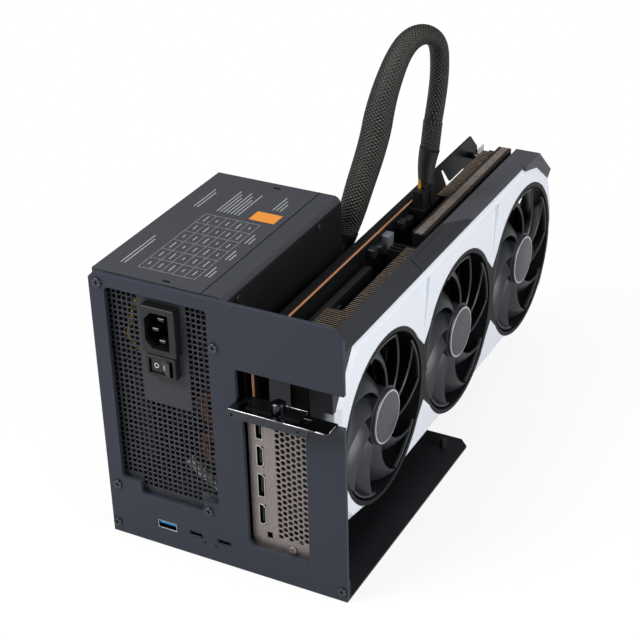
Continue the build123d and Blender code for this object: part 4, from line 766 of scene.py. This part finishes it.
@dataclass
class ScrewHeads:
    """Pan head screws with a cross recess, in place of the plain ones.

    The sizes are those of a head with the given radius, and other heads are scaled from them.
    """

    wardrobe: Wardrobe
    radius: float = 2.9
    frame_radius: float = 2.8
    case_radius: float = 2.4
    bracket_radius: float = 2.7
    height: float = 1.2
    recess_length: float = 3.6
    recess_width: float = 0.9
    recess_depth: float = 0.8
    recess_above: float = 1.0
    recess_bevel: float = 0.1
    supply_screws: tuple[Point, ...] = (
        (6.0, 0.0, 174.0), (80.0, 0.0, 150.0), (6.0, 0.0, 36.0), (70.0, 0.0, 36.0),
    )
    frame_screws: tuple[Point, ...] = ((3.2, 0.0, 7.0), (156.8, 0.0, 7.0))
    bracket_screws: tuple[Point, ...] = ((123.0, 4.6, 22.2),)
    case_screws: tuple[Point, ...] = (
        (86.0, 19.0, 37.5), (86.0, 19.0, 172.5), (86.0, 115.0, 37.5), (86.0, 115.0, 172.5),
    )

    def head(self, radius: float) -> Piece:
        """Models one head that stands on the ground at the origin, with its recess.

        Args:
            radius: The head's radius in millimetres.

        Returns:
            The head, looking up.
        """
        scale = radius / self.radius
        height = self.height * scale
        middle = Vector((0, 0, height * MM / 2))
        head = disc("head", middle, radius, height, Facing.UP.value, HEAD_RIM)
        floor = height - self.recess_depth * scale
        above = height + self.recess_above
        reach = self.recess_length * scale / 2
        thin = self.recess_width * scale / 2
        for across, along in ((reach, thin), (thin, reach)):
            low = Vector((-across, -along, floor)) * MM
            high = Vector((across, along, above)) * MM
            cutter = bar("recess", low, high, self.recess_bevel)
            make_active(head)
            cut = head.modifiers.new("recess", "BOOLEAN")
            cut.operation = "DIFFERENCE"
            cut.object = cutter
            bpy.ops.object.modifier_apply(modifier=cut.name)
            bpy.data.objects.remove(cutter)
        make_active(head)
        bpy.ops.object.shade_smooth_by_angle(angle=HEAD_RIM.smooth)
        return head

    def set_of(self, name: str, radius: float, facing: Facing, spots: Sequence[Point]) -> Piece:
        """Copies one head to each spot.

        Args:
            name: The piece's name.
            radius: The heads' radius in millimetres.
            facing: Which way they look.
            spots: Where they stand.

        Returns:
            The heads as one piece.
        """
        model = self.head(radius)
        heads = []
        for spot in spots:
            copy = model.copy()
            copy.data = model.data.copy()
            bpy.context.collection.objects.link(copy)
            copy.location = at(*spot)
            copy.rotation_euler = facing.value
            settle(copy)
            heads.append(copy)
        bpy.data.objects.remove(model)
        return join(name, heads)

    def build(self) -> None:
        """Models the heads of the three sets of screws and the one in the bracket."""
        for node, radius, facing, spots, finish in (
            ("psu_screws", self.radius, Facing.FRONT, self.supply_screws, SCREW_SHINE),
            ("frame_screws", self.frame_radius, Facing.FRONT, self.frame_screws, SCREW_SHINE),
            ("psu_case_screws", self.case_radius, Facing.RIGHT, self.case_screws, SCREW_BLACK),
        ):
            piece = self.set_of(f"{node}_heads", radius, facing, spots)
            self.wardrobe.dress(piece, finish, "screw_black")
            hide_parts(node)
        piece = self.set_of("bracket_screw_head", self.bracket_radius, Facing.FRONT, self.bracket_screws)
        self.wardrobe.dress(piece, BRACKET_STEEL, "bracket_steel")


@dataclass
class RockerMarks:
    """Off ring and on bar printed on the rocker, tipping with it."""

    wardrobe: Wardrobe
    pivot: Point = (44.7, 2.4, 128.1)
    tilt: float = math.radians(10.0)
    face: float = 1.62
    off_reach: float = 3.6
    ring_radius: float = 1.35
    line: float = 0.28
    ring_steps: tuple[int, int] = (32, 8)
    on_reach: float = 2.6
    on_half: Point = (0.28, 0.08, 1.5)
    on_bevel: float = 0.03

    def build(self) -> None:
        """Models the two marks on the rocker's faces."""
        middle = at(*self.pivot)
        deselect()
        bpy.ops.mesh.primitive_torus_add(
            major_radius=self.ring_radius * MM,
            minor_radius=self.line * MM,
            location=middle + Vector((-self.off_reach, -self.face, 0.0)) * MM,
            rotation=Facing.FRONT.value,
            major_segments=self.ring_steps[0],
            minor_segments=self.ring_steps[1],
        )
        ring = bpy.context.object
        ring.name = "off_mark"
        settle(ring)
        bpy.ops.object.shade_smooth()
        turn = 2 * self.tilt
        along = Vector((math.cos(turn), -math.sin(turn), 0.0))
        out = Vector((-math.sin(turn), -math.cos(turn), 0.0))
        spot = middle + (along * self.on_reach + out * self.face) * MM
        half = Vector(self.on_half) * MM
        mark = bar("on_mark", spot - half, spot + half, self.on_bevel)
        for piece in (ring, mark):
            self.wardrobe.dress(piece, INK_WHITE, "rocker_black", "rocker")


@dataclass
class TopPrint:
    """Plain printed table on the power supply's top: thin rules, short dashes and one field, with no words.

    Each dash block gives its left side, its front and rear, and how many dashes it has.
    """

    wardrobe: Wardrobe
    top: float = 180.0
    film: float = 0.04
    rule: float = 0.3
    dash: float = 0.8
    dash_pitch: float = 2.4
    dash_step: float = 4.0
    cell_reach: float = 1.6
    lengths: int = 3
    table_x: Span = (23.4, 60.5)
    table_y: Span = (16.5, 90.0)
    table_rows: int = 5
    table_columns: int = 6
    field_x: Span = (50.0, 67.0)
    field_y: Span = (94.5, 106.0)
    dash_blocks: tuple[tuple[float, float, float, int], ...] = (
        (27.0, 96.0, 126.0, 7), (57.0, 111.0, 129.0, 3), (11.0, 17.0, 53.0, 2),
        (11.0, 96.0, 122.0, 2), (63.5, 22.0, 34.0, 2), (63.5, 44.0, 56.0, 2),
        (63.5, 66.0, 78.0, 2),
    )
    seam_x: Span = (71.5, 72.2)
    seam_y: Span = (4.6, 144.4)
    slots: tuple[Span, ...] = ((47.3, 7.9), (45.0, 138.7))
    slot_half: Span = (2.4, 0.9)

    def strip(self, name: str, xs: Span, ys: Span) -> Piece:
        """Models one printed strip on the top, by its reach from left to right and from front to rear."""
        low = at(xs[0], ys[0], self.top - self.film)
        return bar(name, low, at(xs[1], ys[1], self.top + self.film), self.film / 4)

    def cell(self) -> Span:
        """Gives the width and depth of one of the table's cells."""
        wide = (self.table_x[1] - self.table_x[0]) / self.table_rows
        return wide, (self.table_y[1] - self.table_y[0]) / self.table_columns

    def rules(self) -> list[Piece]:
        """Models the table's thin rules both ways.

        Returns:
            One strip for each rule.
        """
        wide, deep = self.cell()
        half = self.rule / 2
        strips = []
        for number in range(self.table_rows + 1):
            x = self.table_x[0] + number * wide
            strips.append(self.strip("rule", (x - half, x + half), self.table_y))
        for number in range(self.table_columns + 1):
            y = self.table_y[0] + number * deep
            strips.append(self.strip("rule", self.table_x, (y - half, y + half)))
        return strips

    def dashes(self) -> list[Piece]:
        """Models rows of dashes of unequal length, in blocks and in the table's cells.

        Returns:
            One strip for each dash.
        """
        strips = []
        for x, start, end, rows in self.dash_blocks:
            for row in range(rows):
                spot = x + row * self.dash_pitch
                last = end - self.dash_step * (row % self.lengths)
                strips.append(self.strip("dash", (spot, spot + self.dash), (start, last)))
        wide, deep = self.cell()
        half = self.dash / 2
        for row in range(self.table_rows):
            for column in range(self.table_columns):
                x = self.table_x[0] + (row + 0.5) * wide
                y = self.table_y[0] + (column + 0.5) * deep
                reach = self.cell_reach + (row + column) % self.lengths
                strips.append(self.strip("dash", (x - half, x + half), (y - reach, y + reach)))
        return strips

    def build(self) -> None:
        """Models the rules, the dashes, the field, and painted shade in the two slots and the seam."""
        self.wardrobe.dress(join("print_rules", self.rules()), INK_GREY, "psu_paint")
        self.wardrobe.dress(join("print_dashes", self.dashes()), INK_GREY, "psu_paint")
        field = self.strip("print_field", self.field_x, self.field_y)
        self.wardrobe.dress(field, INK_ORANGE, "psu_paint")
        wide, deep = self.slot_half
        gaps = [self.strip("slot", (x - wide, x + wide), (y - deep, y + deep)) for x, y in self.slots]
        gaps.append(self.strip("seam", self.seam_x, self.seam_y))
        self.wardrobe.dress(join("latch_slot_shade", gaps), PAINTED_SHADE, "psu_paint")


@dataclass
class CardDetails:
    """Small pieces of the card: parts along its board, screws in its trim, a rear post and single blocks.

    A trim screw is given by its radius and its thickness.
    """

    wardrobe: Wardrobe
    board_face: float = 100.9
    part_size: Point = (5.5, 7.0, 6.0)
    part_bevel: float = 0.6
    part_drop: float = 2.0
    parts_y: tuple[float, ...] = (148.0, 158.0, 190.0, 200.0)
    parts_top: float = 146.0
    trim_top: float = 149.3
    trim_screw: Span = (0.7, 0.3)
    trim_screws_at: tuple[Span, ...] = ((134.0, 147.6), (143.4, 139.4), (143.4, 201.4), (134.0, 189.0))
    post_at: Point = (100.6, 323.0, 137.0)
    post_radius: float = 2.3
    post_length: float = 10.0
    blocks: tuple[Block, ...] = (
        Block(
            "grey_connector", (100.9, 169.0, 133.0), (106.4, 176.5, 146.0), 0.4, CONNECTOR_GREY, "chip_dark"
        ),
        Block("pale_tab", (95.6, 337.0, 122.0), (96.6, 348.5, 135.5), 0.3, TAB_GREY, "bracket_steel"),
        # Painted shade: a dark block in front of the shroud's white front, below the shelf.
        Block("shroud_shade_block", (131.6, 13.2, 109.0), (140.0, 16.8, 117.4), 0.5, TRIM_BLACK, "trim_black"),
        Block("fin_guard", (109.0, 9.0, 112.0), (122.0, 10.0, 134.0), 0.2, TRIM_REAR, "trim_black"),
    )

    def build(self) -> None:
        """Models the parts, the trim's screws, the post and the blocks."""
        wide, long, high = self.part_size
        parts = []
        for number, y in enumerate(self.parts_y):
            top = self.parts_top - self.part_drop * (number % 2)
            low = at(self.board_face, y, top - high)
            parts.append(bar("part", low, at(self.board_face + wide, y + long, top), self.part_bevel))
        self.wardrobe.dress(join("board_parts", parts), BACK_PAINT, "chip_dark")
        radius, depth = self.trim_screw
        turn = Facing.UP.value
        screws = [disc("screw", at(x, y, self.trim_top), radius, depth, turn) for x, y in self.trim_screws_at]
        self.wardrobe.dress(join("trim_screws", screws), GLOSS_BLACK, "screw_black")
        middle = at(*self.post_at)
        post = disc("back_post", middle, self.post_radius, self.post_length, Facing.RIGHT.value)
        self.wardrobe.dress(post, GLOSS_BLACK, "screw_black")
        for block in self.blocks:
            block.build(self.wardrobe)


@dataclass
class ShelfHighlightsAndShade:
    """Painted highlights along the card's shelf and bracket edges, and a block of painted shade under the
    shelf's hole.

    Each run goes from one point to another along an edge.
    """

    wardrobe: Wardrobe
    radius: float = 0.3
    runs: tuple[tuple[Point, Point], ...] = (
        ((93.6, -9.9, 120.0), (123.5, -9.9, 120.0)),
        ((127.5, -9.9, 120.0), (143.5, -9.9, 120.0)),
        ((147.5, -9.9, 120.0), (152.8, -9.9, 120.0)),
        ((154.9, -7.8, 120.0), (154.9, -0.4, 120.0)),
        ((122.0, 4.7, 120.8), (135.2, 4.7, 120.8)),
    )
    # Painted shade: a dark block under the shelf's hole.
    shade: Block = Block(
        "shelf_shade", (134.4, -5.8, 117.6), (141.6, -0.1, 118.6), 0.2, PAINTED_SHADE, "bracket_steel"
    )

    def build(self) -> None:
        """Models the edge highlights and the block of painted shade."""
        rods = [rod("edge", at(*start), at(*end), self.radius) for start, end in self.runs]
        self.wardrobe.dress(join("shelf_edge_highlights", rods), EDGE_HIGHLIGHT, "bracket_steel")
        self.shade.build(self.wardrobe)


@dataclass
class PowerCable:
    """Braided cable that arches from the power supply to the card, in a shrunk sleeve at its start.

    The bundle is flattened, and its flat side turns along the way.
    """

    wardrobe: Wardrobe
    width: float = 15.0
    thickness: float = 12.0
    run_scales: tuple[float, ...] = (1.05, 1.1, 1.25, 1.32, 1.05, 0.95, 0.9)
    sleeve_scales: tuple[float, ...] = (1.05, 1.085, 1.15)
    sleeve_share: float = 0.22
    sleeve_wider: float = 0.7
    plug_top: Point = (107.4, 222.6, 161.5)
    plug_scale: float = 0.75
    braid_share: float = 0.44
    boot_lean: float = -1.6
    boot_wider: float = 0.9
    curve_steps: int = 8
    curve_order: int = 3
    smooth: float = math.radians(50)
    route: tuple[Point, ...] = (
        (74.5, 147.0, 132.0), (74.5, 153.0, 132.0), (75.0, 158.8, 134.9),
        (76.3, 163.1, 140.4), (79.0, 164.9, 149.0), (83.0, 166.0, 161.5),
        (86.0, 171.0, 177.5), (88.5, 176.0, 190.0), (91.0, 182.0, 206.0),
        (92.3, 186.5, 222.0), (94.5, 192.0, 236.5), (98.0, 200.6, 252.9),
        (102.0, 210.2, 261.5), (107.1, 222.5, 261.5), (111.0, 232.1, 252.9),
        (111.5, 233.3, 236.0), (110.8, 231.5, 218.0), (109.3, 228.3, 201.0),
    )

    def spline(self, name: str, points: Sequence[Vector], scales: Sequence[float] = (1.0, 1.0)) -> Piece:
        """Draws a smooth open curve with the given control points.

        Args:
            name: The curve's name.
            points: Its control points.
            scales: Scales of its section, evenly spread from its start to its end.

        Returns:
            The curve.
        """
        curve = bpy.data.curves.new(name, "CURVE")
        curve.dimensions = "3D"
        curve.resolution_u = self.curve_steps
        line = curve.splines.new("NURBS")
        line.points.add(len(points) - 1)
        for number, (point, spot) in enumerate(zip(line.points, points)):
            point.co = (*spot, 1.0)
            share = number / (len(points) - 1) * (len(scales) - 1)
            first = min(int(share), len(scales) - 2)
            point.radius = scales[first] + (scales[first + 1] - scales[first]) * (share - first)
        line.order_u = self.curve_order
        line.use_endpoint_u = True
        piece = bpy.data.objects.new(name, curve)
        bpy.context.collection.objects.link(piece)
        return piece

    def path(self) -> list[Vector]:
        """Reads points along the route's own smooth curve.

        Returns:
            The points, from the power supply to the plug.
        """
        guide = self.spline("cable_guide", [at(*point) for point in self.route])
        bpy.context.view_layer.update()
        mesh = bpy.data.meshes.new_from_object(guide)
        points = [vertex.co.copy() for vertex in mesh.vertices]
        bpy.data.meshes.remove(mesh)
        bpy.data.objects.remove(guide)
        return points

    def tube(self, name: str, path: Sequence[Vector], wider: float, scales: Sequence[float]) -> Piece:
        """Sweeps an oval along a path and makes it a mesh.

        Args:
            name: The piece's name.
            path: The points that it follows.
            wider: What is added to the oval's width and thickness, in millimetres.
            scales: Scales of the oval, evenly spread from the path's start to its end.

        Returns:
            The tube, closed at both ends.
        """
        deselect()
        bpy.ops.curve.primitive_bezier_circle_add(radius=1.0)
        oval = bpy.context.object
        oval.scale = ((self.width + wider) / 2 * MM, (self.thickness + wider) / 2 * MM, 1.0)
        bpy.ops.object.transform_apply(location=False, rotation=False, scale=True)
        piece = self.spline(name, path, scales)
        piece.data.bevel_mode = "OBJECT"
        piece.data.bevel_object = oval
        piece.data.use_fill_caps = True
        make_active(piece)
        bpy.ops.object.convert(target="MESH")
        piece = bpy.context.object
        bpy.data.objects.remove(oval)
        make_active(piece)
        bpy.ops.object.shade_smooth_by_angle(angle=self.smooth)
        return piece

    def build(self) -> None:
        path = self.path()
        braid = self.tube("cable_braid", path, 0.0, self.run_scales)
        self.wardrobe.dress(braid, BRAID, "braid_black")
        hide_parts("power_cable")
        covered = int(len(path) * self.sleeve_share)
        sleeve = self.tube("cable_sleeve", path[:covered], self.sleeve_wider, self.sleeve_scales)
        self.wardrobe.dress(sleeve, SHRINK, "shrink_black")
        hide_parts("psu_sleeve")
        foot = at(*self.plug_top)
        split = path[-1].lerp(foot, self.braid_share)
        last = [path[-1], path[-1].lerp(split, 0.5), split]
        end = self.tube("cable_braid_end", last, 0.0, (self.run_scales[-1], self.run_scales[-1]))
        self.wardrobe.dress(end, BRAID_END, "braid_black")
        bulge = split.lerp(foot, 0.5) + Vector((self.boot_lean, 0.0, 0.0)) * MM
        boot = self.tube("plug_shrink", [split, bulge, foot], self.boot_wider, (1.0, self.plug_scale))
        self.wardrobe.dress(boot, SHRINK, "shrink_black")
        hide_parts("plug_sleeve")


@dataclass
class Studio:
    """Pale floor, soft lights and the camera at the photograph's angle.

    Each lamp gives its name, its place and side in metres, and its power in watts.
    """

    camera_at: Point = (0.40878, -0.72596, 0.59773)
    camera_turn: Point = (60.171, 1.349, 27.484)
    focal_px: float = 1600.54
    image_px: float = 640.0
    sensor: float = 36.0
    sight: float = 20.0
    floor_size: float = 12.0
    floor_drop: float = 0.0004
    floor_bounce: str = "#c4c4c4"
    floor_seen: str = "#f4f4f4"
    clear_from: Span = (0.15, 0.5)
    clear_share: Span = (0.84, 1.0)
    world_light: float = 0.13
    world_seen: float = 1.0
    aim: Point = (0.0, 0.08, 0.08)
    lamps: tuple[tuple[str, Point, float, float], ...] = (
        ("key", (-0.55, -0.6, 0.9), 0.7, 13.0),
        ("right", (1.7, -0.2, 0.9), 1.2, 27.0),
        ("top", (0.0, 0.3, 1.9), 1.6, 13.0),
    )

    def camera(self) -> None:
        """Sets the camera where the photograph was taken from."""
        data = bpy.data.cameras.new("camera")
        data.sensor_width = self.sensor
        data.lens = self.focal_px / self.image_px * self.sensor
        data.clip_end = self.sight
        eye = bpy.data.objects.new("camera", data)
        eye.location = self.camera_at
        eye.rotation_euler = tuple(math.radians(angle) for angle in self.camera_turn)
        bpy.context.collection.objects.link(eye)
        bpy.context.scene.camera = eye

    def floor(self) -> None:
        """Lays a pale floor with a soft shadow near the dock; little of its light comes back to the dock."""
        deselect()
        bpy.ops.mesh.primitive_plane_add(size=self.floor_size, location=(0, 0, -self.floor_drop))
        plane = bpy.context.object
        plane.name = "floor"
        material = bpy.data.materials.new("pale_floor")
        material.use_nodes = True
        tree = material.node_tree
        tree.nodes.clear()
        seen = add_node(tree, "LightPath").outputs["Is Camera Ray"]
        tints = {MIX_A: linear(self.floor_bounce), MIX_B: linear(self.floor_seen)}
        paint = add_node(tree, "Mix", settings=COLOURS, links={0: seen}, values=tints)
        matt = add_node(tree, "BsdfDiffuse", links={"Color": paint.outputs[MIX_RESULT]})
        glow = add_node(tree, "Emission", values={"Color": (1, 1, 1, 1), "Strength": 1.0})
        spot = add_node(tree, "TexCoord").outputs["Object"]
        away = add_node(tree, "VectorMath", settings={"operation": "LENGTH"}, links={0: spot})
        names = ("From Min", "From Max", "To Min", "To Max")
        ends = dict(zip(names, self.clear_from + self.clear_share))
        clear = add_node(tree, "MapRange", links={"Value": away.outputs["Value"]}, values=ends)
        share = add_node(tree, "Math", settings=TIMES, links={0: seen, 1: clear.outputs["Result"]})
        parts = (share, matt, glow)
        mixed = add_node(tree, "MixShader", links={i: part.outputs[0] for i, part in enumerate(parts)})
        add_node(tree, "OutputMaterial", links={"Surface": mixed.outputs[0]})
        plane.data.materials.append(material)

    def hang_lamps(self) -> None:
        """Hangs the square lamps, which face the dock."""
        for name, place, size, power in self.lamps:
            data = bpy.data.lights.new(name, "AREA")
            data.size = size
            data.energy = power
            lamp = bpy.data.objects.new(name, data)
            lamp.location = place
            toward = Vector(self.aim) - Vector(place)
            lamp.rotation_euler = toward.to_track_quat("-Z", "Y").to_euler()
            bpy.context.collection.objects.link(lamp)

    def world(self) -> None:
        """Gives the surroundings an even pale light, and white to the camera."""
        world = bpy.data.worlds.new("studio")
        bpy.context.scene.world = world
        world.use_nodes = True
        tree = world.node_tree
        back = tree.nodes["Background"]
        back.inputs["Color"].default_value = (1.0, 1.0, 1.0, 1.0)
        seen = add_node(tree, "LightPath").outputs["Is Camera Ray"]
        ends = {"To Min": self.world_light, "To Max": self.world_seen}
        strength = add_node(tree, "MapRange", links={"Value": seen}, values=ends)
        tree.links.new(strength.outputs["Result"], back.inputs["Strength"])

    def build(self) -> None:
        """Sets the camera, the floor, the world and the lamps."""
        bpy.context.scene.view_settings.view_transform = "Standard"
        self.camera()
        self.floor()
        self.world()
        self.hang_lamps()


def main() -> None:
    """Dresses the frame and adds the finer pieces."""
    logging.basicConfig(level=logging.INFO, format="%(name)s: %(message)s")
    wardrobe = Wardrobe()
    Studio().build()
    PowerCable(wardrobe).build()
    wardrobe.dress_nodes()
    inner = (GrilleBars, CoilLead, FinSheets, HubDiscs)
    outer = (ScrewHeads, RockerMarks, TopPrint, CardDetails, ShelfHighlightsAndShade)
    for detail in inner + outer:
        detail(wardrobe).build()


if __name__ == "__main__":
    main()
